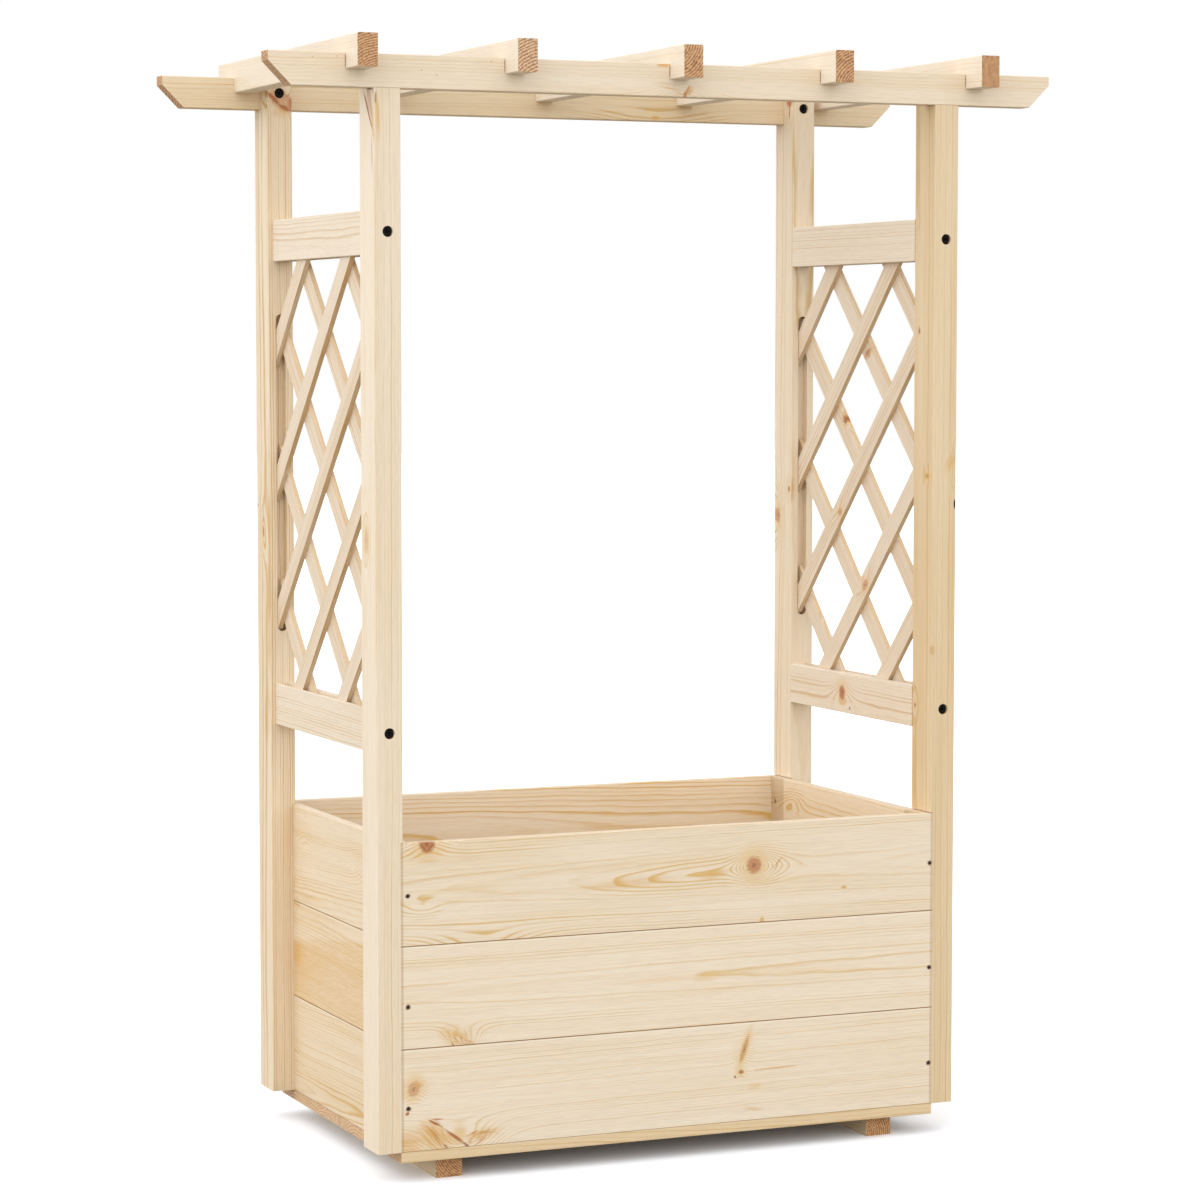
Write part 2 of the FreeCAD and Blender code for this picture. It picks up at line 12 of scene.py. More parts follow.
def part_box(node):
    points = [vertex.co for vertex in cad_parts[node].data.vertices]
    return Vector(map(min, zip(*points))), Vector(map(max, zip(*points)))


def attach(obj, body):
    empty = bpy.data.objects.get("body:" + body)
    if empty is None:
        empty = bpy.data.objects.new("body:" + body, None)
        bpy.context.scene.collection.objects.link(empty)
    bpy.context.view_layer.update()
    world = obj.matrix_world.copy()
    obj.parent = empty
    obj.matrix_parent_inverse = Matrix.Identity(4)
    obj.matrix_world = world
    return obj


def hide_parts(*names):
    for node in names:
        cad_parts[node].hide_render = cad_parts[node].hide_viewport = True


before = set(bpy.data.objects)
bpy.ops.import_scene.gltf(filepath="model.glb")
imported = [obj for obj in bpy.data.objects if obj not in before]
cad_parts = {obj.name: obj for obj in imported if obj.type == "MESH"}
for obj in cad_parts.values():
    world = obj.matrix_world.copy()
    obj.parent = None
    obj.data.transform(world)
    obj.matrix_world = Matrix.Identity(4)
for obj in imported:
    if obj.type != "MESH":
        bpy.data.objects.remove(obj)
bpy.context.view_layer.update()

X = Vector((1, 0, 0))
Y = Vector((0, 1, 0))
Z = Vector((0, 0, 1))
ENDS = {"front": -1, "rear": 1}
SIDES = {"left": -1, "right": 1}
ROWS = ("bottom", "middle", "top")
LEVELS = ("bottom", "top")
RAFTERS = range(1, 6)
FLOOR_BOARDS = range(1, 5)
SLATS = range(1, 6)


# Places of the pieces

def middle(node):
    """The middle of a piece's box."""
    low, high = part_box(node)
    return (low + high) / 2


def half_size(node, axis):
    """Half the length of a piece's box along a direction."""
    low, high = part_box(node)
    return sum(abs(part) * half for part, half in zip(axis, (high - low) / 2))


def face(node, axis, side):
    """Where a piece's face lies on an axis (0, 1 or 2), on its lower (-1) or upper (1) side."""
    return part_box(node)[0 if side < 0 else 1][axis]


def plane(node, axis):
    """A piece's lower face on an axis, to a tenth of a millimetre."""
    return round(face(node, axis, -1), 4)


# the faces that carry marks
FRONT = plane("beam_front", 1)
LEFT = plane("post_front_left", 0)
LEFT_WALL = plane("left_board_middle", 0)
RIGHT_POSTS = plane("post_front_right", 0)
REAR_POSTS = plane("post_rear_left", 1)
REAR_BEAM = plane("beam_rear", 1)
RISING_SLATS = plane("lattice_right_rising_3", 0)
FALLING_SLATS = plane("lattice_right_falling_3", 0)


# Node trees written as Python expressions

class Socket:
    """An output of a node tree that takes part in Python expressions."""

    def __init__(self, tree, out):
        self.tree = tree
        self.out = out

    def __add__(self, other):
        return self.tree.maths("ADD", self, other)

    def __sub__(self, other):
        return self.tree.maths("SUBTRACT", self, other)

    def __rsub__(self, other):
        return self.tree.maths("SUBTRACT", other, self)

    def __mul__(self, other):
        return self.tree.maths("MULTIPLY", self, other)

    def __truediv__(self, other):
        return self.tree.maths("DIVIDE", self, other)

    def __neg__(self):
        return self * -1

    __radd__ = __add__
    __rmul__ = __mul__


class Tree:
    """The nodes of a material or of a geometry tree."""

    def __init__(self, tree):
        self.tree = tree

    def node(self, kind, settings=None, inputs=None, output=0):
        """Add a node: its settings first, then the values or links of its sockets."""
        made = self.tree.nodes.new(kind)
        for name, value in (settings or {}).items():
            setattr(made, name, value)
        for key, value in (inputs or {}).items():
            self.feed(made.inputs[key], value)
        return Socket(self, made.outputs[output]) if made.outputs else None

    def feed(self, socket, value):
        """Link a socket to one or to a list of others, or set its value."""
        if isinstance(value, list):
            for item in value:
                self.feed(socket, item)
        elif isinstance(value, Socket):
            self.tree.links.new(value.out, socket)
        else:
            socket.default_value = value

    def maths(self, operation, *values):
        return self.node("ShaderNodeMath", {"operation": operation}, dict(enumerate(values)))

    def split(self, vector):
        made = self.node("ShaderNodeSeparateXYZ", None, {"Vector": vector})
        return [Socket(self, out) for out in made.out.node.outputs]


class Finish(Tree):
    """A material and its shader."""

    def __init__(self, name):
        self.material = bpy.data.materials.new(name)
        self.material.use_nodes = True
        super().__init__(self.material.node_tree)
        self.shader = self.tree.nodes["Principled BSDF"]

    def spot(self, output="Object"):
        return self.node("ShaderNodeTexCoord", None, None, output)

    def noise(self, spot, scale, seed, detail=2.0, output="Fac"):
        """Noise that is stretched by its own scale on each axis."""
        shift = (seed, 1.7 * seed, 2.3 * seed)
        at = self.node("ShaderNodeVectorMath", {"operation": "MULTIPLY_ADD"}, {0: spot, 1: scale, 2: shift})
        return self.node("ShaderNodeTexNoise", None, {"Vector": at, "Scale": 1.0, "Detail": detail}, output)

    def step(self, value, low, high):
        """A smooth step from 0 at low to 1 at high."""
        return self.node("ShaderNodeMapRange", {"interpolation_type": "SMOOTHSTEP"},
                         {"Value": value, "From Min": low, "From Max": high})

    def mix(self, factor, first, second):
        """Mix two colours."""
        rgb = {6: self.colour(first), 7: self.colour(second)}
        return self.node("ShaderNodeMix", {"data_type": "RGBA"}, {0: factor, **rgb}, 2)

    def colour(self, value):
        return value if isinstance(value, Socket) else (*value, 1.0)

    def bump(self, height, strength, distance):
        return self.node("ShaderNodeBump", None,
                         {"Height": height, "Strength": strength, "Distance": distance}, "Normal")

    def paint(self, **inputs):
        """Set the shader's sockets by name, with _ for a space."""
        for name, value in inputs.items():
            self.feed(self.shader.inputs[name.replace("_", " ")], value)
        return self.material


# Wood

IVORY = {"pale": (0.862, 0.762, 0.632), "late": (0.765, 0.575, 0.345)}
SHELL = {**IVORY, "cut": ((0.800, 0.515, 0.295), (0.180, 0.050, 0.008))}
CREAM = {"pale": (0.870, 0.756, 0.602), "late": (0.715, 0.450, 0.130)}
MILK = {"pale": (0.896, 0.788, 0.640), "late": (0.735, 0.480, 0.165)}
STRAW = {"pale": (0.842, 0.706, 0.532), "late": (0.680, 0.420, 0.120)}
BISCUIT = {"pale": (0.820, 0.673, 0.470), "late": (0.650, 0.410, 0.140)}
SAND = {"pale": (0.800, 0.642, 0.425), "late": (0.640, 0.405, 0.140)}
FAWN = {"pale": (0.850, 0.715, 0.535), "late": (0.630, 0.385, 0.135)}
BLUSH = {"pale": (0.803, 0.683, 0.541), "late": (0.660, 0.445, 0.225)}
ROSE = {"pale": (0.862, 0.732, 0.560), "late": (0.650, 0.430, 0.180)}
OAT = {"pale": (0.850, 0.740, 0.602), "late": (0.690, 0.490, 0.275)}
HONEY = {"pale": (0.800, 0.625, 0.395), "late": (0.680, 0.440, 0.175),
         "cut": ((0.790, 0.550, 0.335), (0.450, 0.250, 0.115))}
END_GRAIN = ((0.700, 0.390, 0.165), (0.170, 0.035, 0.002))
GRIT = (0.450, 0.370, 0.280)
# the dark colour of a seam: partly the joint's own colour, partly painted shade in the crack
SEAM_SHADE = (0.330, 0.160, 0.030)
# painted highlight colour for the lit lip along a board's top edge
LIP_HIGHLIGHT = (0.950, 0.860, 0.730)
PINK_KNOT = (0.625, 0.315, 0.145)
RED_KNOT = (0.500, 0.190, 0.070)
TAN_KNOT = (0.630, 0.340, 0.115)
PALE_KNOT = (0.700, 0.440, 0.260)
BROWN_KNOT = (0.545, 0.225, 0.105)
# dark bark and pitch in knots and round nails, and the colour of painted shadow lines
BARK_AND_SHADE = (0.230, 0.064, 0.018)
PITCH = (0.030, 0.012, 0.008)
HEART = (0.300, 0.085, 0.020)
CRACK = (0.400, 0.125, 0.040)
SCAR = (0.560, 0.285, 0.140)
TINT = (0.600, 0.360, 0.205)
SHADED_TOP = (0.460, 0.120, 0.030)
AMBER = (0.410, 0.132, 0.030)
RUST = (0.530, 0.230, 0.055)
RESIN = (0.695, 0.385, 0.085)
GOLD = (0.765, 0.515, 0.205)

# depths below a board's edge where its seam's painted shade and its lip's painted highlight start and stop,
# and the blur of the painted shade where the board meets a post
SEAM_SHADE_BAND = (0.0010, 0.0003)
LIP_HIGHLIGHT_START = (0.0034, 0.0022)
LIP_HIGHLIGHT_STOP = (0.0014, 0.0008)
END_SHADE_BLUR = 0.0006

# how far a mark goes into the wood while it fades, and the size above which its rim is less ragged
MARK_DEPTH = (0.004, 0.008)
RAGGED_SIZE = 0.009

# how high the grain stands
GRAIN_HEIGHT = 0.0004

# the shadow line on the front beam at a rafter's lap
LAP_MIDDLE = 1.4135
LAP_GAP = 0.0004
LAP_REACH = (0.0010, 0.0104)


def knot(at, swell, lift, core, tone=TAN_KNOT, turn=0.0, depth=0.85):
    """A knot at a point of a face: how far it bends the growth rings, and its ringed core."""
    return {"at": Vector(at), "swell": swell, "lift": lift, "reach": core, "tone": tone, "turn": turn,
            "depth": depth, "heart": True, "square": False, "soft": 0.40, "streaks": 0.0}


def bend(at, swell, lift, turn=0.0):
    """A place where the growth rings bend round a knot that lies deeper in the wood."""
    return {**knot(at, swell, lift, None), "turn": turn}


def stain_and_shade(at, reach, tone=GOLD, depth=0.6, turn=0.0, soft=0.5, streaks=0.0, square=False):
    """A patch of resin or tinted wood, or a patch of painted shade, plain or in streaks along its length."""
    return {"at": Vector(at), "swell": None, "reach": reach, "tone": tone, "turn": turn, "depth": depth,
            "heart": False, "square": square, "soft": soft, "streaks": streaks}


def feathers(at, turn, length, count, spread, depth=0.8, fan=6.0):
    """Fine strokes side by side on a front face, where torn grain has drawn in resin."""
    draw = random.Random(f"feathers {at}")
    cos, sin = math.cos(math.radians(turn)), math.sin(math.radians(turn))
    strokes = []
    for _ in range(count):
        slide, off = draw.uniform(-0.3, 0.3) * length, draw.uniform(-spread, spread)
        spot = Vector(at) + Vector((cos * slide - sin * off, 0, sin * slide + cos * off))
        strokes.append(stain_and_shade(spot, (length * draw.uniform(0.5, 1.0), draw.uniform(0.0006, 0.0011)), RUST,
                             depth * draw.uniform(0.6, 1.0), turn + draw.uniform(-fan, fan), 0.8))
    return strokes


def nail_stain(x, y, z):
    """The dark rim round a nail."""
    return stain_and_shade((x, y, z), (0.0048, 0.0042), BARK_AND_SHADE, 0.75, 0.0, 0.6)


def lap_line(number):
    """The thin shadow on the front beam where the left face of a rafter's lap meets it."""
    edge = face(f"rafter_{number}", 0, -1)
    return stain_and_shade((edge - LAP_GAP, FRONT, LAP_MIDDLE), LAP_REACH, BARK_AND_SHADE, 0.70, 0, 0.5, square=True)


class Wood(Finish):
    """Planed softwood: growth rings about a pith line, cut by the faces of one piece."""

    def __init__(self, piece, along, across):
        super().__init__(f"{piece}_wood")
        self.seed = random.Random(piece).uniform(0, 60)
        self.centre = middle(piece)
        self.axes = (along, across, along.cross(across))
        self.half = [half_size(piece, axis) for axis in self.axes]
        self.grain = self.node("ShaderNodeMapping", {"vector_type": "TEXTURE"},
                               {"Vector": self.spot(), "Location": self.centre,
                                "Rotation": Matrix(self.axes).transposed().to_euler()})
        self.u, self.v, self.w = self.split(self.grain)

    def field(self, scale, offset, detail=2.0, output="Fac"):
        """Noise along the grain's own axes."""
        return self.noise(self.grain, scale, self.seed + offset, detail, output)

    def facing(self, axis):
        """How squarely a face looks along one of the grain's axes."""
        dot = self.node("ShaderNodeVectorMath", {"operation": "DOT_PRODUCT"},
                        {0: self.spot("Normal"), 1: self.axes[axis]}, 1)
        return self.maths("ABSOLUTE", dot)

    def around(self, mark):
        """Distances along and across a mark in the plane of its face, and down into the wood."""
        u, v, w = ((mark["at"] - self.centre).dot(axis) for axis in self.axes)
        on_edge = abs(abs(v) / self.half[1] - 1) < abs(abs(w) / self.half[2] - 1)
        side, at_side, down, at_down = (self.w, w, self.v, v) if on_edge else (self.v, v, self.w, w)
        cos, sin = math.cos(math.radians(mark["turn"])), math.sin(math.radians(mark["turn"]))
        away_u, away_side = self.u - u, side - at_side
        deep = self.maths("ABSOLUTE", down - at_down)
        return away_u * cos + away_side * sin, away_side * cos - away_u * sin, deep

    def reach(self, away, size, square=False):
        """Distance from a mark's centre, where 1 is its rim."""
        long, wide = away[0] / size[0], away[1] / size[1]
        long, wide = long * long, wide * wide
        if square:
            return self.maths("SQRT", self.maths("SQRT", long * long + wide * wide))
        return self.maths("SQRT", long + wide)

    def rings(self, pith, tilt, sway, spacing, marks):
        """Growth rings: each fades in slowly and ends at a sharp line."""
        sway_v, sway_w, self.drift = self.split(self.field((1.9, 4.0, 4.0), 0, 2.0, "Color"))
        off_v = self.v - pith[0] + self.u * tilt[0] + (sway_v - 0.5) * (2 * sway)
        off_w = self.w - pith[1] + self.u * tilt[1] + (sway_w - 0.5) * (2 * sway)
        radius = self.maths("SQRT", off_v * off_v + off_w * off_w)
        close = 0.0
        for mark in marks:
            if mark["swell"]:
                away = self.reach(self.around(mark), mark["swell"])
                swell = self.maths("EXPONENT", -(away * away))
                radius = radius + swell * mark["lift"]
                close = self.maths("MAXIMUM", close, self.step(swell, 0.02, 0.45) * 0.75)
        wobble = self.field((13.0, 70.0, 70.0), 5)
        spread = self.noise(radius, (38.0, 0.0, 0.0), self.seed + 9, 1.0)
        phase = radius / spacing + (wobble - 0.5) * 0.7 + spread * 2.2
        cycle = self.maths("FRACT", phase)
        number = self.maths("FLOOR", phase)
        luck = self.node("ShaderNodeTexWhiteNoise", {"noise_dimensions": "1D"},
                         {"W": number + self.seed}, "Value")
        self.late = self.step(cycle, 0.46, 0.90) * (1 - self.step(cycle, 0.90, 1.0))
        patch = self.step(self.field((3.5, 26.0, 26.0), 3, 1.0), 0.15, 0.62)
        return self.late * self.maths("MAXIMUM", close, (luck * luck * 0.85 + 0.15) * (patch * 0.7 + 0.3))

    def seams(self, tone, low, high, ends):
        """Dark lines where a board meets its neighbours and the posts, partly the joints' own colour and
        partly painted shade, and a painted highlight along its top edge.
        """
        front = self.step(self.facing(2), 0.1, 0.4)
        rim = self.half[1]
        # painted shade where the board's end meets a post
        seam_shade = self.step(self.maths("ABSOLUTE", self.u), ends - END_SHADE_BLUR, ends + END_SHADE_BLUR) * front * 0.35
        for reached, wanted in ((-self.v, low), (self.v, high)):
            if wanted:
                seam_shade = self.maths("MAXIMUM", seam_shade, self.step(reached, *(rim - depth for depth in SEAM_SHADE_BAND)))
        # painted highlight on the lit lip along the top of a board that has another board above it
        if high:
            starts = self.step(self.v, *(rim - depth for depth in LIP_HIGHLIGHT_START))
            stops = self.step(self.v, *(rim - depth for depth in LIP_HIGHLIGHT_STOP))
            lip_highlight = starts * (1 - stops)
            tone = self.mix(lip_highlight * front * 0.4, tone, LIP_HIGHLIGHT)
        return self.mix(seam_shade * 0.96, tone, SEAM_SHADE)

    def marks(self, tone, marks):
        """Knots with a ringed core, a dark heart and a soft rim, plain stains, and patches of painted shade.
        """
        ragged = (self.field((120.0, 260.0, 260.0), 7, 3.0) - 0.5) * 0.8
        for mark in marks:
            if not mark["reach"]:
                continue
            away = self.around(mark)
            edge = self.reach(away, mark["reach"], mark["square"])
            edge = edge + ragged * min(1.0, RAGGED_SIZE / max(mark["reach"]))
            near = 1 - self.step(away[2], *MARK_DEPTH)
            cover = (1 - self.step(edge, 1 - mark["soft"], 1.1)) * near * mark["depth"]
            if mark["streaks"]:
                flat = self.node("ShaderNodeCombineXYZ", None, {"X": away[0], "Y": away[1]})
                lines = self.step(self.noise(flat, (28.0, 430.0, 0.0), self.seed + 11), 0.36, 0.62)
                cover = cover * (lines * mark["streaks"] + (1 - mark["streaks"]))
            if mark["heart"]:
                turns = self.maths("SINE", edge * 14.0) * 0.5 + 0.5
                rim = self.step(edge, 0.55, 0.95) * 0.30
                dark = (1 - self.step(edge, 0.05, 0.42)) * 0.8 + turns * 0.14 + rim
                tone = self.mix((1 - self.step(edge, 0.9, 2.3)) * near * 0.45, tone, GOLD)
                tone = self.mix(cover, tone, self.mix(dark, mark["tone"], HEART))
            else:
                tone = self.mix(cover, tone, mark["tone"])
        return tone

    def finish(self, look, pith, spacing, tilt=(0.0, 0.0), sway=0.012, contrast=1.0, gold=0.3, side=0.0,
               marks=(), seams=None):
        """Paint the wood. The side value darkens the faces along the across axis, or pales them below 0: on
        the posts this is painted shade above 0 and painted light below 0; on the slats it darkens their
        edges.
        """
        ring = self.rings(pith, tilt, sway, spacing, marks)
        fibre = self.field((5.0, 420.0, 420.0), 1, 3.0)
        streak = self.field((1.3, 95.0, 95.0), 2)
        fleck = self.step(self.field((55.0, 900.0, 900.0), 4, 1.0), 0.68, 0.78)
        band = self.field((2.5, 40.0, 40.0), 8, 1.0)
        grit = self.step(self.field((40.0, 750.0, 750.0), 10, 1.0), 0.40, 0.68)
        shade = (ring * contrast + (streak - 0.5) * 0.40 + (fibre - 0.5) * 0.36 + (self.drift - 0.5) * 0.40
                 + (band - 0.5) * gold)
        if side:
            shade = shade + self.facing(1) * side
        tone = self.mix(self.step(shade, -0.22, 0.95), look["pale"], look["late"])
        tone = self.mix(fleck * 0.25, tone, look["late"])
        tone = self.mix(grit * 0.12, tone, GRIT)

        # end grain is darker, with close rings and open pores
        pores = self.field((300.0, 340.0, 340.0), 6)
        cut = self.mix(self.late * 0.9 + (pores - 0.5) * 2.2 + 0.14, *look.get("cut", END_GRAIN))
        tone = self.mix(self.step(self.facing(0), 0.40, 0.80) * 0.95, tone, cut)

        tone = self.marks(tone, marks)
        if seams:
            tone = self.seams(tone, *seams)
        return self.paint(Base_Color=tone, Roughness=0.40 + fibre * 0.20 - ring * 0.06,
                          Specular_IOR_Level=0.5,
                          Normal=self.bump(fibre * 0.6 + ring * 0.5, 0.30, GRAIN_HEIGHT))


MARKS = {
    "front_board_top": [
        knot((0.1140, FRONT, 0.3810), (0.020, 0.017), -0.011, (0.0120, 0.0125), BROWN_KNOT),
        bend((0.1240, FRONT, 0.3815), (0.036, 0.026), -0.013),
        bend((0.0300, FRONT, 0.3735), (0.130, 0.0175), -0.0075, 4),
        stain_and_shade((0.0560, FRONT, 0.3715), (0.0300, 0.0080), RESIN, 0.55, 9, 0.9, 0.3),
        stain_and_shade((-0.0700, FRONT, 0.3670), (0.0900, 0.0085), RESIN, 0.42, 2, 0.9, 0.4),
        *feathers((0.1480, FRONT, 0.3800), 52, 0.014, 3, 0.0024, 0.70, 6),
        knot((-0.3454, FRONT, 0.4340), (0.030, 0.018), -0.010, (0.0120, 0.0135), RED_KNOT, 0, 0.90),
        stain_and_shade((-0.3400, FRONT, 0.4300), (0.0110, 0.0014), BARK_AND_SHADE, 0.45, 50),
        stain_and_shade((-0.3500, FRONT, 0.4290), (0.0080, 0.0014), BARK_AND_SHADE, 0.45, -50),
        bend((-0.3540, FRONT, 0.3520), (0.026, 0.014), -0.005),
        bend((-0.2720, FRONT, 0.2950), (0.080, 0.022), -0.020),
        stain_and_shade((0.2471, FRONT, 0.3439), (0.0045, 0.0025), RESIN, 0.8),
        stain_and_shade((0.1259, FRONT, 0.3065), (0.0040, 0.0050), RESIN, 0.7),
        nail_stain(-0.3715, FRONT, 0.3688), nail_stain(0.3765, FRONT, 0.3688),
    ],
    "front_board_middle": [
        stain_and_shade((0.0470, FRONT, 0.2376), (0.0280, 0.0085), GOLD, 0.60, 6, 0.9, 0.3),
        stain_and_shade((-0.0200, FRONT, 0.2372), (0.0800, 0.0045), GOLD, 0.35, 0, 0.9, 0.3),
        bend((-0.2970, FRONT, 0.1680), (0.030, 0.024), -0.030),
        stain_and_shade((-0.3050, FRONT, 0.1830), (0.0340, 0.0150), RESIN, 0.80, -25, 0.9, 0.5),
        *feathers((-0.3010, FRONT, 0.1810), -58, 0.010, 8, 0.0150, 0.85, 22),
        *feathers((-0.2900, FRONT, 0.1750), -8, 0.014, 3, 0.0025, 0.90, 8),
        nail_stain(-0.3715, FRONT, 0.2270), nail_stain(0.3765, FRONT, 0.2270),
    ],
    "front_board_bottom": [
        knot((-0.3640, FRONT, 0.1215), (0.018, 0.018), -0.010, (0.0085, 0.0115), PINK_KNOT, -22, 0.70),
        stain_and_shade((-0.3570, FRONT, 0.1260), (0.0075, 0.0060), RESIN, 0.5, 15, 0.9),
        stain_and_shade((-0.3730, FRONT, 0.0905), (0.0036, 0.0026), AMBER, 0.90, 30),
        bend((-0.3020, FRONT, 0.0440), (0.058, 0.030), 0.032),
        stain_and_shade((-0.3700, FRONT, 0.0520), (0.0300, 0.0240), RESIN, 0.70, 0, 0.9, 0.3),
        stain_and_shade((-0.3370, FRONT, 0.0580), (0.0350, 0.0190), RESIN, 0.85, -46, 0.8, 0.5),
        stain_and_shade((-0.3150, FRONT, 0.0530), (0.0220, 0.0085), RESIN, 0.65, -40, 0.9, 0.5),
        *feathers((-0.3320, FRONT, 0.0570), -49, 0.022, 6, 0.0060, 0.80, 5),
        *feathers((-0.3365, FRONT, 0.0757), -28, 0.013, 4, 0.0018, 0.95, 8),
        *feathers((-0.3085, FRONT, 0.0560), -38, 0.022, 5, 0.0020, 1.00, 4),
        *feathers((-0.3330, FRONT, 0.0790), -16, 0.011, 4, 0.0022, 0.95, 22),
        stain_and_shade((-0.3085, FRONT, 0.0556), (0.0230, 0.0023), AMBER, 0.90, -38, 0.7),
        stain_and_shade((-0.3350, FRONT, 0.0750), (0.0120, 0.0020), AMBER, 0.85, -28, 0.7),
        stain_and_shade((-0.2930, FRONT, 0.0437), (0.0065, 0.0022), BARK_AND_SHADE, 0.75, -40),
        stain_and_shade((-0.3212, FRONT, 0.0441), (0.0050, 0.0014), BARK_AND_SHADE, 0.65, -42),
        stain_and_shade((-0.2720, FRONT, 0.0555), (0.0340, 0.0100), RESIN, 0.75, 8, 0.9, 0.6),
        *feathers((-0.2830, FRONT, 0.0580), 25, 0.012, 3, 0.0020, 0.90, 6),
        *feathers((-0.2660, FRONT, 0.0550), 6, 0.022, 5, 0.0045, 0.75, 5),
        *feathers((-0.2740, FRONT, 0.0470), 24, 0.012, 3, 0.0020, 0.90, 8),
        *feathers((-0.2880, FRONT, 0.0480), 60, 0.007, 3, 0.0040, 0.85, 20),
        knot((0.1006, FRONT, 0.1364), (0.022, 0.014), -0.006, (0.0210, 0.0040), TAN_KNOT, 71.6, 0.75),
        knot((0.0959, FRONT, 0.1067), (0.010, 0.008), -0.004, (0.0040, 0.0032), RED_KNOT),
        stain_and_shade((0.0872, FRONT, 0.1007), (0.0022, 0.0018), BARK_AND_SHADE, 0.8),
        stain_and_shade((0.1450, FRONT, 0.1082), (0.0420, 0.0016), RESIN, 0.65, 1.5),
        stain_and_shade((0.1165, FRONT, 0.0863), (0.0150, 0.0060), GOLD, 0.55, 0, 0.9, 0.3),
        stain_and_shade((0.1130, FRONT, 0.0561), (0.0190, 0.0035), RESIN, 0.45, -8, 0.9),
        nail_stain(-0.3715, FRONT, 0.0968), nail_stain(0.3765, FRONT, 0.0968),
    ],
    "left_board_middle": [
        stain_and_shade((LEFT_WALL, 0.050, 0.1940), (0.300, 0.0720), RESIN, 0.40, -8, 0.03, 0.40, square=True),
        stain_and_shade((LEFT_WALL, 0.130, 0.2220), (0.110, 0.0300), RESIN, 0.25, -8, 0.90, 0.40),
        stain_and_shade((LEFT_WALL, 0.176, 0.2330), (0.045, 0.0210), RESIN, 0.70, -8, 0.85, 0.30),
    ],
    "beam_front": [
        bend((0.0110, FRONT, 1.3830), (0.040, 0.015), -0.020),
        stain_and_shade((0.0170, FRONT, 1.3890), (0.0120, 0.0070), RESIN, 0.65, 45, 0.9, 0.5),
        stain_and_shade((0.0118, FRONT, 1.3845), (0.0045, 0.0032), RUST, 0.90, 80),
        *feathers((0.0160, FRONT, 1.3905), 52, 0.010, 6, 0.0045, 0.90, 22),
        stain_and_shade((-0.0100, FRONT, 1.3925), (0.0230, 0.0013), RESIN, 0.60, -9, 0.9),
        stain_and_shade((-0.0140, FRONT, 1.3985), (0.0270, 0.0012), RESIN, 0.45, -6, 0.9),
        stain_and_shade((0.0050, FRONT, 1.3860), (0.0120, 0.0014), RESIN, 0.65, -18, 0.9),
        stain_and_shade((-0.0190, FRONT, 1.4215), (0.0120, 0.0026), RESIN, 0.75),
        *(stain_and_shade((x, FRONT, z), (0.0014, 0.0011), AMBER, 0.5) for x, z in (
            (-0.4925, 1.4174), (-0.4608, 1.4190), (-0.3493, 1.4053), (-0.3292, 1.3996), (-0.2559, 1.4190))),
        *(lap_line(number) for number in RAFTERS),
    ],
    "beam_rear": [
        bend((0.1750, REAR_BEAM, 1.3820), (0.100, 0.016), -0.010),
        stain_and_shade((0.1745, REAR_BEAM, 1.3862), (0.0080, 0.0034), RESIN, 0.75),
    ],
    "trellis_rail_bottom_right": [
        knot((RIGHT_POSTS, 0.0219, 0.5760), (0.030, 0.018), -0.010, (0.0095, 0.0115), RED_KNOT, 0, 0.95),
        stain_and_shade((RIGHT_POSTS, -0.0020, 0.5560), (0.0030, 0.0025), BARK_AND_SHADE, 0.8),
    ],
    "post_rear_left": [
        bend((-0.3940, REAR_POSTS, 1.3940), (0.022, 0.012), -0.012, -54),
        stain_and_shade((-0.3920, REAR_POSTS, 1.3935), (0.0220, 0.0130), SCAR, 0.85, -54, 0.35, 0.3),
        stain_and_shade((-0.4033, REAR_POSTS, 1.3957), (0.0140, 0.0036), CRACK, 0.90, -47),
        stain_and_shade((-0.3872, REAR_POSTS, 1.3830), (0.0110, 0.0036), CRACK, 0.90, -65),
        stain_and_shade((-0.3797, REAR_POSTS, 1.3890), (0.0090, 0.0028), RED_KNOT, 0.75),
        stain_and_shade((-0.3930, REAR_POSTS, 1.3770), (0.0090, 0.0150), RESIN, 0.65, 0, 0.9, 0.7),
        knot((LEFT, 0.2120, 0.8100), (0.035, 0.012), -0.008, (0.0090, 0.0035), RED_KNOT, 8),
        stain_and_shade((LEFT, 0.2120, 0.8340), (0.0150, 0.0030), PINK_KNOT, 0.6),
        stain_and_shade((LEFT, 0.2356, 0.8453), (0.0035, 0.0020), BARK_AND_SHADE, 0.8),
    ],
    "post_front_left": [
        knot((LEFT, -0.2050, 0.8180), (0.040, 0.014), -0.010, (0.0150, 0.0075), PALE_KNOT, 0, 0.5),
        stain_and_shade((LEFT, -0.2230, 1.3660), (0.0300, 0.0090), TINT, 0.80, 25, 0.6, 0.4),
        stain_and_shade((LEFT, -0.2181, 1.3536), (0.0370, 0.0024), AMBER, 0.95, 33.7),
        stain_and_shade((LEFT, -0.2125, 1.3660), (0.0190, 0.0016), AMBER, 0.80, 33.7),
        stain_and_shade((LEFT, -0.2310, 1.3000), (0.0300, 0.0035), AMBER, 0.45, 4, 0.8, 0.5),
        stain_and_shade((LEFT, -0.2340, 1.3370), (0.0260, 0.0050), RESIN, 0.75, 10, 0.8, 0.4),
        stain_and_shade((-0.4080, FRONT, 1.3480), (0.0340, 0.0046), RESIN, 0.65, -3, 0.8, 0.5),
        stain_and_shade((-0.4105, FRONT, 1.3690), (0.0090, 0.0014), AMBER, 0.75, 4),
        # painted shadow: a thin dark line on the left face just under the beam
        stain_and_shade((LEFT, -0.2230, 1.3816), (0.0015, 0.0150), BARK_AND_SHADE, 0.90, -4, 0.5),
    ],
    "post_rear_right": [
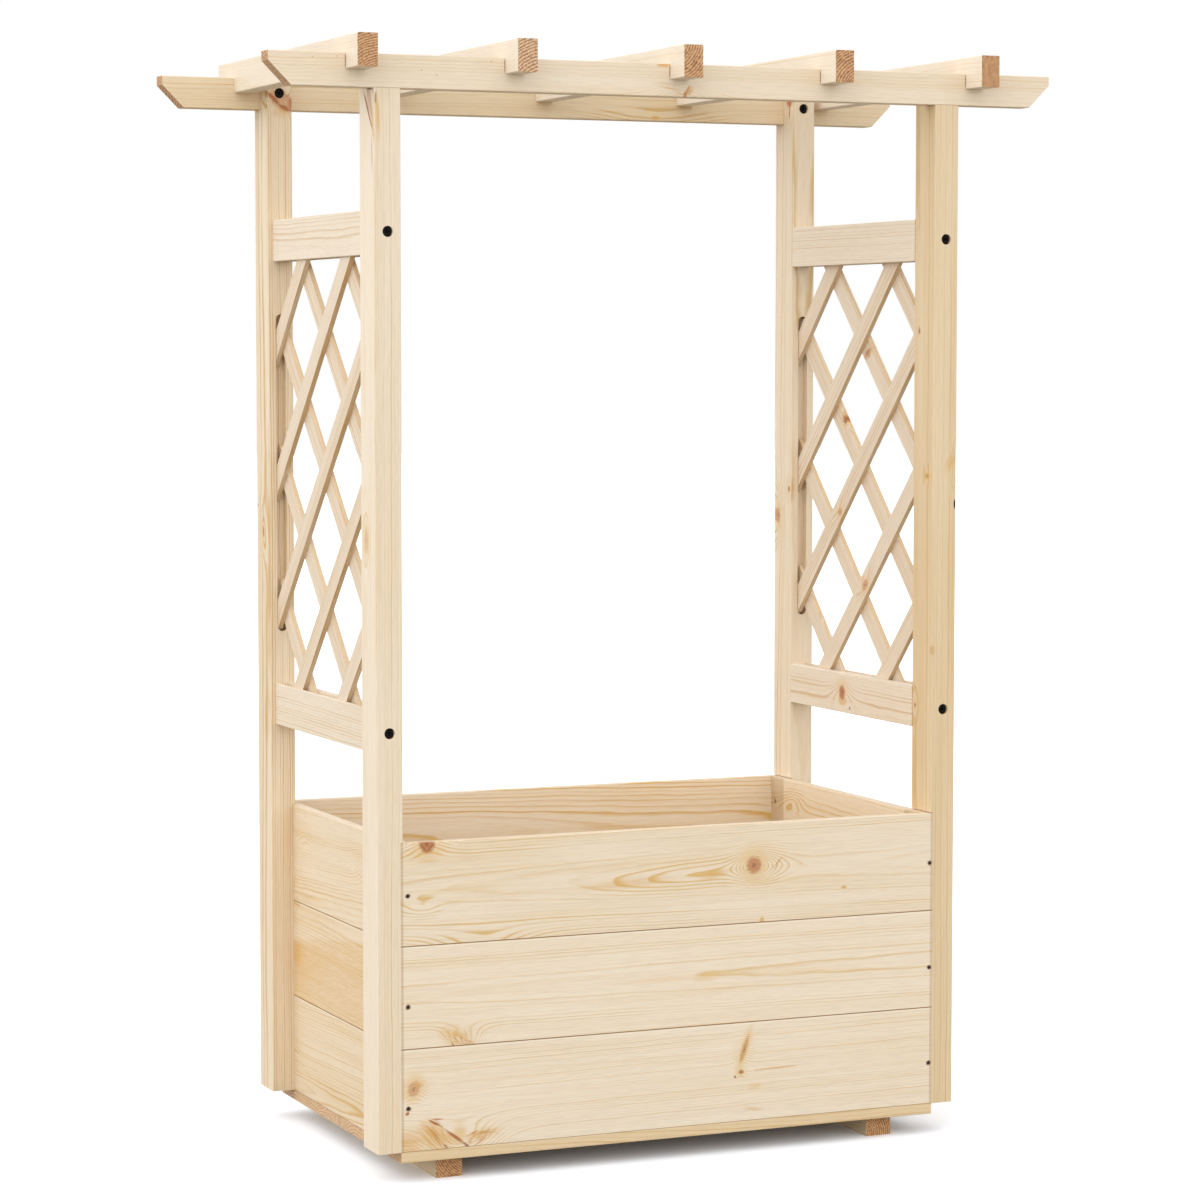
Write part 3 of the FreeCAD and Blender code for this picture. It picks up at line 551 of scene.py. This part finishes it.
        knot((RIGHT_POSTS, 0.2280, 0.8178), (0.045, 0.020), -0.016, (0.0125, 0.0080), PINK_KNOT),
        knot((RIGHT_POSTS, 0.1924, 0.8569), (0.020, 0.008), -0.001, (0.0045, 0.0035), RED_KNOT),
        stain_and_shade((RIGHT_POSTS, 0.1957, 1.4165), (0.0135, 0.0125), SHADED_TOP, 0.90, 0, 0.5),
        stain_and_shade((RIGHT_POSTS, 0.1957, 1.3990), (0.0120, 0.0024), AMBER, 0.75),
    ],
    "post_front_right": [
        knot((RIGHT_POSTS, -0.2234, 0.8890), (0.016, 0.010), -0.001, (0.0048, 0.0066), TAN_KNOT, 0, 0.75),
        stain_and_shade((0.4112, FRONT, 0.8520), (0.0072, 0.0026), PITCH, 1.00, 0, 0.4),
        stain_and_shade((0.4030, FRONT, 0.9070), (0.0190, 0.0085), RESIN, 0.60, 31, 0.8, 0.6),
        bend((0.4125, FRONT, 0.9000), (0.030, 0.010), -0.010),
        knot((RIGHT_POSTS, -0.1937, 0.5781), (0.016, 0.008), -0.004, (0.0035, 0.0028), RED_KNOT),
        stain_and_shade((0.3790, FRONT, 0.6564), (0.0080, 0.0030), TAN_KNOT, 0.6),
        stain_and_shade((RIGHT_POSTS, -0.1987, 1.0836), (0.0080, 0.0050), RUST, 0.75, 0, 0.8, 0.4),
        stain_and_shade((RIGHT_POSTS, -0.2000, 1.0826), (0.0045, 0.0025), BARK_AND_SHADE, 0.80, 0, 0.7),
        # painted shadow: a thin dark line on the inner face just under the beam
        stain_and_shade((RIGHT_POSTS, -0.2215, 1.3826), (0.0015, 0.0115), BARK_AND_SHADE, 0.95, -4, 0.5),
    ],
    "lattice_right_falling_3": [
        knot((FALLING_SLATS, 0.0494, 0.9606), (0.030, 0.010), -0.006, (0.0075, 0.0075), RED_KNOT, 0, 0.9),
        stain_and_shade((FALLING_SLATS, 0.0494, 0.9606), (0.0120, 0.0030), BARK_AND_SHADE, 0.75, 40, 0.7),
        stain_and_shade((FALLING_SLATS, 0.0530, 0.9640), (0.0140, 0.0090), RUST, 0.45, 20, 0.9, 0.5),
    ],
    "lattice_right_rising_3": [
        knot((RISING_SLATS, 0.0523, 0.8292), (0.030, 0.012), -0.006, (0.0070, 0.0060), PINK_KNOT, 0, 0.75),
    ],
    "lattice_right_rising_2": [
        knot((RISING_SLATS, -0.0250, 0.7305), (0.030, 0.012), -0.008, (0.0110, 0.0070), PINK_KNOT, 0, 0.8),
    ],
    "lattice_right_falling_4": [
        stain_and_shade((FALLING_SLATS, -0.0183, 1.0526), (0.0085, 0.0170), RUST, 0.80, 8, 0.7, 0.4),
        stain_and_shade((FALLING_SLATS, -0.0160, 1.0540), (0.0035, 0.0120), RED_KNOT, 0.70, 12, 0.7),
    ],
}

# how the boards and sticks that show most were cut from the tree
CUTS = {
    "front_board_top": {"pith": (0.004, -0.030), "tilt": (0.0, -0.020), "spacing": 0.0033, "contrast": 0.9,
                        "sway": 0.0025, "gold": 0.5},
    "front_board_middle": {"pith": (0.002, -0.022), "tilt": (0.004, -0.009), "spacing": 0.0034,
                           "contrast": 0.55, "sway": 0.0025},
    "front_board_bottom": {"pith": (-0.095, -0.030), "tilt": (-0.012, 0.0), "spacing": 0.0031,
                           "contrast": 0.70, "sway": 0.003, "gold": 0.2},
    "left_board_top": {"pith": (-0.050, -0.030), "tilt": (0.05, 0.0), "spacing": 0.0034, "contrast": 0.62,
                       "sway": 0.003, "gold": 0.6},
    "left_board_middle": {"pith": (0.060, -0.040), "tilt": (-0.02, 0.0), "spacing": 0.0032, "contrast": 0.8,
                          "sway": 0.004, "gold": 0.7},
    "left_board_bottom": {"pith": (-0.050, -0.030), "tilt": (0.04, -0.02), "spacing": 0.0036, "contrast": 0.8,
                          "sway": 0.004, "gold": 0.7},
    # side on the posts: below 0 it pales their left and right faces as painted light, above 0 it darkens them
    # as painted shade
    "post_front_left": {"pith": (0.060, 0.012), "spacing": 0.0034, "contrast": 0.8, "side": -0.15},
    "post_front_right": {"pith": (0.065, 0.020), "spacing": 0.0036, "contrast": 0.9, "gold": 0.6,
                         "side": 0.14},
    "post_rear_left": {"pith": (0.060, -0.020), "spacing": 0.0036, "contrast": 1.3, "gold": 0.7},
    "post_rear_right": {"pith": (0.004, 0.035), "tilt": (0.004, 0.012), "spacing": 0.0036, "contrast": 1.35,
                        "side": -0.05},
    "beam_front": {"pith": (-0.050, -0.030), "spacing": 0.0038, "contrast": 0.38},
    "beam_rear": {"pith": (0.034, -0.026), "tilt": (0.008, 0.010), "spacing": 0.0036, "contrast": 1.0},
    "rafter_1": {"pith": (-0.060, 0.024), "spacing": 0.0030, "contrast": 0.6},
    "rafter_2": {"pith": (-0.060, 0.030), "spacing": 0.0036, "contrast": 0.6},
    "rafter_3": {"pith": (0.028, -0.036), "spacing": 0.0036, "contrast": 0.6},
    "rafter_4": {"pith": (-0.034, 0.030), "spacing": 0.0038, "contrast": 0.6},
    "rafter_5": {"pith": (0.050, 0.060), "spacing": 0.0027, "contrast": 0.6},
}


def chance_marks(piece, along, across, count):
    """A few knots at places that the piece's own name settles, for sides that nothing else fixes."""
    draw = random.Random(f"knots of {piece}")
    outward = along.cross(across)
    marks = []
    for _ in range(count):
        at = middle(piece)
        for axis, room in ((along, 0.85), (across, 0.75)):
            at += axis * half_size(piece, axis) * draw.uniform(-room, room)
        at += outward * half_size(piece, outward)
        width = draw.uniform(0.004, 0.010)
        marks.append(knot(at, (width * 5, width * 2.2), -width * 1.6, (width * 1.2, width),
                          draw.choice((PINK_KNOT, RED_KNOT, TAN_KNOT)), draw.uniform(-15, 15), 0.8))
    return marks


def dress(piece, along, across, look, pith, knots=0, **cut):
    """Give a piece its own wood."""
    cut = {"pith": pith, **cut, **CUTS.get(piece, {})}
    marks = MARKS.get(piece) or chance_marks(piece, along, across, knots)
    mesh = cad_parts[piece].data
    mesh.materials.clear()
    mesh.materials.append(Wood(piece, along, across).finish(look, marks=marks, **cut))


def dress_board(piece, along, across, look, **more):
    """A wide board, sawn flat: its rings show as long flames."""
    draw = random.Random(f"board {piece}")
    pith = (draw.uniform(-0.02, 0.02), -draw.uniform(0.042, 0.062))
    tilt = (draw.uniform(-0.01, 0.01), draw.choice((-1, 1)) * draw.uniform(0.015, 0.035))
    dress(piece, along, across, look, pith, draw.choice((0, 1, 2)), spacing=0.0042, tilt=tilt, **more)


def dress_stick(piece, along, across, look, near=0.035, far=0.07, spacing=0.0036, **more):
    """A slim stick: its rings show as nearly straight lines."""
    draw = random.Random(f"stick {piece}")
    angle, reach = draw.uniform(0, math.tau), draw.uniform(near, far)
    pith = (reach * math.cos(angle), reach * math.sin(angle))
    dress(piece, along, across, look, pith, draw.choice((0, 0, 1)), spacing=spacing, sway=0.005, **more)


POST_LOOKS = {"front_left": CREAM, "front_right": SAND, "rear_left": FAWN, "rear_right": ROSE}
BEAM_LOOKS = {"front": CREAM, "rear": BISCUIT}
LONG_WALL_LOOKS = {"bottom": MILK, "middle": MILK, "top": CREAM}
RAFTER_LOOKS = {number: SHELL if number == 2 else IVORY for number in RAFTERS}
LONG_ENDS = abs(face("post_front_left", 0, 1))
SHORT_ENDS = abs(face("post_front_left", 1, 1))
for corner, look in POST_LOOKS.items():
    dress_stick(f"post_{corner}", Z, X, look)
for end in ENDS:
    dress_stick(f"beam_{end}", X, Z, BEAM_LOOKS[end])
    for row in ROWS:
        dress_board(f"{end}_board_{row}", X, Z, LONG_WALL_LOOKS[row], seams=(True, row != "top", LONG_ENDS))
for number, look in RAFTER_LOOKS.items():
    dress_stick(f"rafter_{number}", Y, Z, look, spacing=0.0028)
for number in FLOOR_BOARDS:
    dress_board(f"floor_board_{number}", X, Y, HONEY)

# the lattice crosses on a grid between the rails and the posts
ROW_MARGIN = 0.0125
COLUMN_MARGIN = 0.009
CROSSING_ROWS = 6
CROSSING_COLUMNS = 2
LATTICE_LOW = face("trellis_rail_bottom_left", 2, 1)
LATTICE_HIGH = face("trellis_rail_top_left", 2, -1)
LATTICE_HALF = face("trellis_rail_top_left", 1, 1)
CROSSING_ROW = (LATTICE_HIGH - LATTICE_LOW - 2 * ROW_MARGIN) / CROSSING_ROWS
CROSSING_COLUMN = (LATTICE_HALF - COLUMN_MARGIN) / CROSSING_COLUMNS
SLAT_ANGLE = math.atan2(CROSSING_ROW, CROSSING_COLUMN)
for side in SIDES:
    for row in ROWS:
        dress_board(f"{side}_board_{row}", Y, Z, STRAW, seams=(True, row != "top", SHORT_ENDS))
    for level in LEVELS:
        dress_stick(f"trellis_rail_{level}_{side}", Y, Z, OAT, 0.045, 0.08)
    dress_stick(f"skid_{side}", Y, X, SAND, 0.02, 0.04, 0.003)
    for slope, turn in (("rising", -SLAT_ANGLE), ("falling", SLAT_ANGLE)):
        along = Vector((0, math.cos(turn), math.sin(turn)))
        across = X.cross(along)
        for number in SLATS:
            # side darkens the slats' edges to a warmer brown than their faces
            dress_stick(f"lattice_{side}_{slope}_{number}", along, across, BLUSH, 0.03, 0.07, side=0.45)


# Fasteners

def black_oxide():
    """Blackened steel with a thin film of oil."""
    metal = Finish("black_oxide")
    spot = metal.spot()
    cloud = metal.noise(spot, (180.0, 180.0, 180.0), 3.0, 3.0)
    tone = metal.mix(cloud, (0.004, 0.004, 0.004), (0.012, 0.011, 0.011))
    return metal.paint(Base_Color=tone, Roughness=0.45 + cloud * 0.25, Specular_IOR_Level=0.15,
                       Normal=metal.bump(cloud, 0.15, 0.0002))


def zinc_plate():
    """Yellow-grey zinc on the screws."""
    metal = Finish("zinc_plate")
    spot = metal.spot()
    cloud = metal.noise(spot, (260.0, 260.0, 260.0), 7.0, 3.0)
    tone = metal.mix(cloud, (0.62, 0.57, 0.44), (0.48, 0.45, 0.40))
    return metal.paint(Base_Color=tone, Roughness=0.30 + cloud * 0.25, Metallic=0.9,
                       Normal=metal.bump(cloud, 0.1, 0.0002))


def nail_steel_and_shade():
    """Dull steel of the nails, its own tone darkened with painted shade of their holes."""
    metal = Finish("nail_steel_and_shade")
    spot = metal.spot()
    cloud = metal.noise(spot, (700.0, 700.0, 700.0), 11.0, 3.0)
    # painted shade: the nail heads are darker than bare steel, as if in the shade of their holes
    tone = metal.mix(cloud, (0.035, 0.026, 0.020), (0.090, 0.060, 0.040))
    return metal.paint(Base_Color=tone, Roughness=0.5 + cloud * 0.3, Metallic=0.5,
                       Normal=metal.bump(cloud, 0.3, 0.0002))


BOLT = {"Head Diameter": 0.013, "Head Height": 0.005, "Edge": 0.0009, "Shank Diameter": 0.006,
        "Socket Width": 0.005, "Socket Depth": 0.003}
SCREW = {"Head Diameter": 0.009, "Head Height": 0.0035, "Edge": 0.0006, "Shank Diameter": 0.0045,
         "Socket Width": 0.0035, "Socket Depth": 0.002}
NAIL = {"Head Diameter": 0.005, "Head Height": 0.0012, "Edge": 0.0003, "Shank Diameter": 0.0026}
BRAD = {"Head Diameter": 0.003, "Head Height": 0.0008, "Edge": 0.0002, "Shank Diameter": 0.0016}
SHANKS = {"rail_bolt": 0.090, "beam_bolt": 0.040, "rafter_screw": 0.042, "post_screw": 0.034,
          "floor_screw": 0.030, "wall_nail": 0.044, "lattice_brad": 0.011}
SIDES_OF_ROUND = 28
SHARP_ANGLE = math.radians(35)
MERGE_DISTANCE = 1e-6
KEY_SIDES = 6


def lathe(tree, profile):
    """Turn a profile of radii and heights into rings of faces, closed at both ends."""
    lid = tree.node("GeometryNodeMeshCircle", {"fill_type": "NGON"},
                    {"Vertices": SIDES_OF_ROUND, "Radius": profile[0][0]})
    rings = [tree.node("GeometryNodeFlipFaces", None, {"Mesh": lid})]
    for (wide, low), (narrow, high) in zip(profile, profile[1:]):
        ring = tree.node("GeometryNodeMeshCone", {"fill_type": "NONE"},
                         {"Vertices": SIDES_OF_ROUND, "Radius Bottom": wide, "Radius Top": narrow,
                          "Depth": high - low})
        lift = tree.node("ShaderNodeCombineXYZ", None, {"Z": low})
        rings.append(tree.node("GeometryNodeTransform", None, {"Geometry": ring, "Translation": lift}))
    joined = tree.node("GeometryNodeJoinGeometry", None, {"Geometry": rings[::-1]})
    return tree.node("GeometryNodeMergeByDistance", None, {"Geometry": joined, "Distance": MERGE_DISTANCE})


def fastener_tree(name, sizes, material):
    """A tree that sets a turned fastener on every point, with its shank along the point's own direction."""
    group = bpy.data.node_groups.new(name, "GeometryNodeTree")
    tree = Tree(group)
    group.interface.new_socket("Geometry", in_out="INPUT", socket_type="NodeSocketGeometry")
    group.interface.new_socket("Geometry", in_out="OUTPUT", socket_type="NodeSocketGeometry")
    for size in (*sizes, "Shank Length"):
        group.interface.new_socket(size, in_out="INPUT", socket_type="NodeSocketFloat")
    entry = tree.node("NodeGroupInput")
    ask = {out.name: Socket(tree, out) for out in entry.out.node.outputs if out.name}
    head = ask["Head Diameter"] * 0.5
    shank = ask["Shank Diameter"] * 0.5
    edge = ask["Edge"]
    under = ask["Head Height"]
    tip = under + ask["Shank Length"]
    turned = lathe(tree, [
        (head - edge, 0.0), (head - edge * 0.3, edge * 0.3), (head, edge), (head, under), (shank, under),
        (shank, tip - shank), (shank * 0.3, tip), (0.0, tip),
    ])
    if "Socket Width" in sizes:
        key = tree.node("GeometryNodeMeshCylinder", {"fill_type": "NGON"},
                        {"Vertices": KEY_SIDES, "Radius": ask["Socket Width"] / math.sqrt(3),
                         "Depth": ask["Socket Depth"] * 2})
        turned = tree.node("GeometryNodeMeshBoolean", {"operation": "DIFFERENCE"},
                           {"Mesh 1": turned, "Mesh 2": key})
    aim = tree.node("GeometryNodeInputNamedAttribute", {"data_type": "FLOAT_VECTOR"}, {"Name": "aim"})
    turn = tree.node("FunctionNodeAlignRotationToVector", {"axis": "Z"}, {"Vector": aim})
    copies = tree.node("GeometryNodeInstanceOnPoints", None,
                       {"Points": ask["Geometry"], "Instance": turned, "Rotation": turn})
    real = tree.node("GeometryNodeRealizeInstances", None, {"Geometry": copies})
    painted = tree.node("GeometryNodeSetMaterial", None, {"Geometry": real, "Material": material})
    tree.node("NodeGroupOutput", None, {"Geometry": painted})
    return group


def set_fasteners(name, node, sizes, length, spots, material):
    """Make one kind of fastener at all its spots, in place of the plain solids of its node."""
    points = bpy.data.meshes.new(f"{name}_points")
    points.from_pydata([at for at, aim in spots], [], [])
    aims = points.attributes.new("aim", "FLOAT_VECTOR", "POINT")
    for item, (at, aim) in zip(aims.data, spots):
        item.vector = aim
    maker = bpy.data.objects.new(f"{name}_maker", points)
    bpy.context.scene.collection.objects.link(maker)
    modifier = maker.modifiers.new("fasteners", "NODES")
    modifier.node_group = fastener_tree(f"{name}_tree", sizes, material)
    inputs = {item.name: item.identifier for item in modifier.node_group.interface.items_tree
              if item.in_out == "INPUT"}
    for size, value in (*sizes.items(), ("Shank Length", length)):
        modifier[inputs[size]] = value
    graph = bpy.context.evaluated_depsgraph_get()
    mesh = bpy.data.meshes.new_from_object(maker.evaluated_get(graph))
    bpy.data.objects.remove(maker)
    mesh.polygons.foreach_set("use_smooth", [True] * len(mesh.polygons))
    mesh.set_sharp_from_angle(angle=SHARP_ANGLE)
    piece = bpy.data.objects.new(name, mesh)
    bpy.context.scene.collection.objects.link(piece)
    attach(piece, "root")
    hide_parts(node)


BOLT_SINK = 0.003
RAFTER_SCREW_SINK = 0.002
POST_SCREW_RISE = 0.030
FLOOR_SCREW_SPREAD = 0.060
NAIL_SINK = 0.0006
NAIL_SPREAD = 0.200
NAIL_SHIFT = 0.0025
NAIL_DROPS = {"bottom": 0.010, "middle": 0.0115, "top": 0.0015}

rail_spots, beam_spots, post_spots, nail_spots = [], [], [], []
for end, toward in ENDS.items():
    for side, outward in SIDES.items():
        post = f"post_{end}_{side}"
        line = middle(post).x
        for level in LEVELS:
            height = middle(f"trellis_rail_{level}_{side}").z
            rail_spots.append(((line, face(post, 1, toward) - toward * BOLT_SINK, height), -toward * Y))
        beam_spots.append(((line, face(post, 1, -toward) + toward * BOLT_SINK, middle(f"beam_{end}").z),
                           toward * Y))
        for row in ROWS:
            short, long = f"{side}_board_{row}", f"{end}_board_{row}"
            post_spots.append(((face(short, 0, -outward), middle(post).y, middle(short).z + POST_SCREW_RISE),
                               outward * X))
            nail_spots.append(((middle(short).x + NAIL_SHIFT, face(long, 1, toward) - toward * NAIL_SINK,
                                middle(long).z - NAIL_DROPS[row]), -toward * Y))
    edge_board = f"floor_board_{FLOOR_BOARDS[0 if toward < 0 else -1]}"
    for step in (-1, 0, 1):
        nail_spots.append(((step * NAIL_SPREAD, middle(f"{end}_board_bottom").y, face(edge_board, 2, -1)), Z))
floor_spots = []
for number in FLOOR_BOARDS:
    board = f"floor_board_{number}"
    for side in SIDES:
        nail_spots.append(((middle(f"{side}_board_bottom").x, middle(board).y, face(board, 2, -1)), Z))
        for step in (-0.5, 0.5):
            floor_spots.append(((middle(f"skid_{side}").x, middle(board).y + step * FLOOR_SCREW_SPREAD,
                                 face(board, 2, 1)), -Z))
rafter_spots = [((middle(f"rafter_{number}").x, middle(f"beam_{end}").y,
                  face(f"rafter_{number}", 2, 1) - RAFTER_SCREW_SINK), -Z)
                for number in RAFTERS for end in ENDS]

# slats cross between the rails where their steps from the middle differ by 1 and add up to 3 at most
LATTICE_MIDDLE = (LATTICE_LOW + LATTICE_HIGH) / 2
SLAT_STEPS = range(-2, 3)
brad_spots = []
for side in SIDES:
    outside = face(f"lattice_{side}_falling_3", 0, 1)
    for rising in SLAT_STEPS:
        for falling in SLAT_STEPS:
            column, row = rising - falling, rising + falling
            if abs(column) <= 1 and abs(row) <= 3:
                height = LATTICE_MIDDLE + row * CROSSING_ROW
                brad_spots.append(((outside, column * CROSSING_COLUMN, height), -X))

black = black_oxide()
zinc = zinc_plate()
steel = nail_steel_and_shade()
for kind, slot, sizes, spots, metal in (
        ("rail_bolt", "black_bolt", BOLT, rail_spots, black),
        ("beam_bolt", "black_bolt", BOLT, beam_spots, black),
        ("rafter_screw", "zinc_screw", SCREW, rafter_spots, zinc),
        ("post_screw", "zinc_screw", SCREW, post_spots, zinc),
        ("floor_screw", "zinc_screw", SCREW, floor_spots, zinc),
        ("wall_nail", "steel_nail", NAIL, nail_spots, steel),
        ("lattice_brad", "steel_nail", BRAD, brad_spots, steel)):
    set_fasteners(f"{kind}_set", f"{kind}s", sizes, SHANKS[kind], spots, metal)


# Floor, light and camera

FLOOR_HALF = 30.0
FLOOR_BOUNCE = (0.33, 0.3075, 0.267)
FLOOR_SEEN = (1.225, 1.255, 1.315)
DOME_AT_HORIZON = 1.705
DOME_FALL = 0.70
DOME_LEAN = 0.60
BRIGHT_SIDE = Vector((-0.93, -0.37, 0.0)).normalized()
CAMERA_AT = (-1.93156, -4.46399, 1.05711)
CAMERA_ANGLES = (-23.361, 3.982, 0.020)
CAMERA_LENS = 107.64
CAMERA_SENSOR = 36.0
CAMERA_REACH = 200.0


def studio_floor():
    """A pale floor that goes white away from the object and keeps its shadow."""
    mesh = bpy.data.meshes.new("studio_floor")
    corners = [(x * FLOOR_HALF, y * FLOOR_HALF, 0) for x, y in ((-1, -1), (1, -1), (1, 1), (-1, 1))]
    mesh.from_pydata(corners, [], [(0, 1, 2, 3)])
    floor = bpy.data.objects.new("studio_floor", mesh)
    bpy.context.scene.collection.objects.link(floor)
    paper = Finish("studio_paper")
    seen = paper.node("ShaderNodeLightPath", None, None, "Is Camera Ray")
    white = paper.mix(seen, FLOOR_BOUNCE, FLOOR_SEEN)
    mesh.materials.append(paper.paint(Base_Color=white, Roughness=1.0, Specular_IOR_Level=0.0))


def studio_light():
    """A soft dome, brightest at the horizon on the left and in front, and plain white to the eye."""
    world = bpy.data.worlds.new("studio_dome")
    bpy.context.scene.world = world
    world.use_nodes = True
    dome = Tree(world.node_tree)
    way = dome.node("ShaderNodeTexCoord", None, None, "Generated")
    height = dome.split(way)[2]
    lean = dome.node("ShaderNodeVectorMath", {"operation": "DOT_PRODUCT"}, {0: way, 1: BRIGHT_SIDE}, 1)
    rays = dome.node("ShaderNodeLightPath").out.node.outputs
    kinds = ("Camera", "Glossy", "Transmission")
    seen, mirrored, through = (Socket(dome, rays[f"Is {kind} Ray"]) for kind in kinds)
    plain = dome.maths("MINIMUM", seen + mirrored + through, 1.0)
    strength = plain + (1 - plain) * (DOME_AT_HORIZON - height * DOME_FALL + lean * DOME_LEAN)
    back = world.node_tree.nodes["Background"]
    dome.feed(back.inputs["Strength"], strength)
    back.inputs["Color"].default_value = (1, 1, 1, 1)


def photo_camera():
    """The camera at the photograph's place."""
    azimuth, elevation, roll = (math.radians(angle) for angle in CAMERA_ANGLES)
    back = Vector((math.sin(azimuth) * math.cos(elevation), -math.cos(azimuth) * math.cos(elevation),
                   math.sin(elevation)))
    level = (-back).cross(Z).normalized()
    upright = back.cross(level)
    right = level * math.cos(roll) + upright * math.sin(roll)
    up = upright * math.cos(roll) - level * math.sin(roll)
    data = bpy.data.cameras.new("photo_camera")
    data.sensor_width = CAMERA_SENSOR
    data.lens = CAMERA_LENS
    data.clip_end = CAMERA_REACH
    camera = bpy.data.objects.new("photo_camera", data)
    bpy.context.scene.collection.objects.link(camera)
    camera.matrix_world = (Matrix.Translation(CAMERA_AT)
                           @ Matrix((right, up, back)).transposed().to_4x4())
    bpy.context.scene.camera = camera


studio_floor()
studio_light()
photo_camera()
bpy.context.scene.view_settings.view_transform = "Standard"
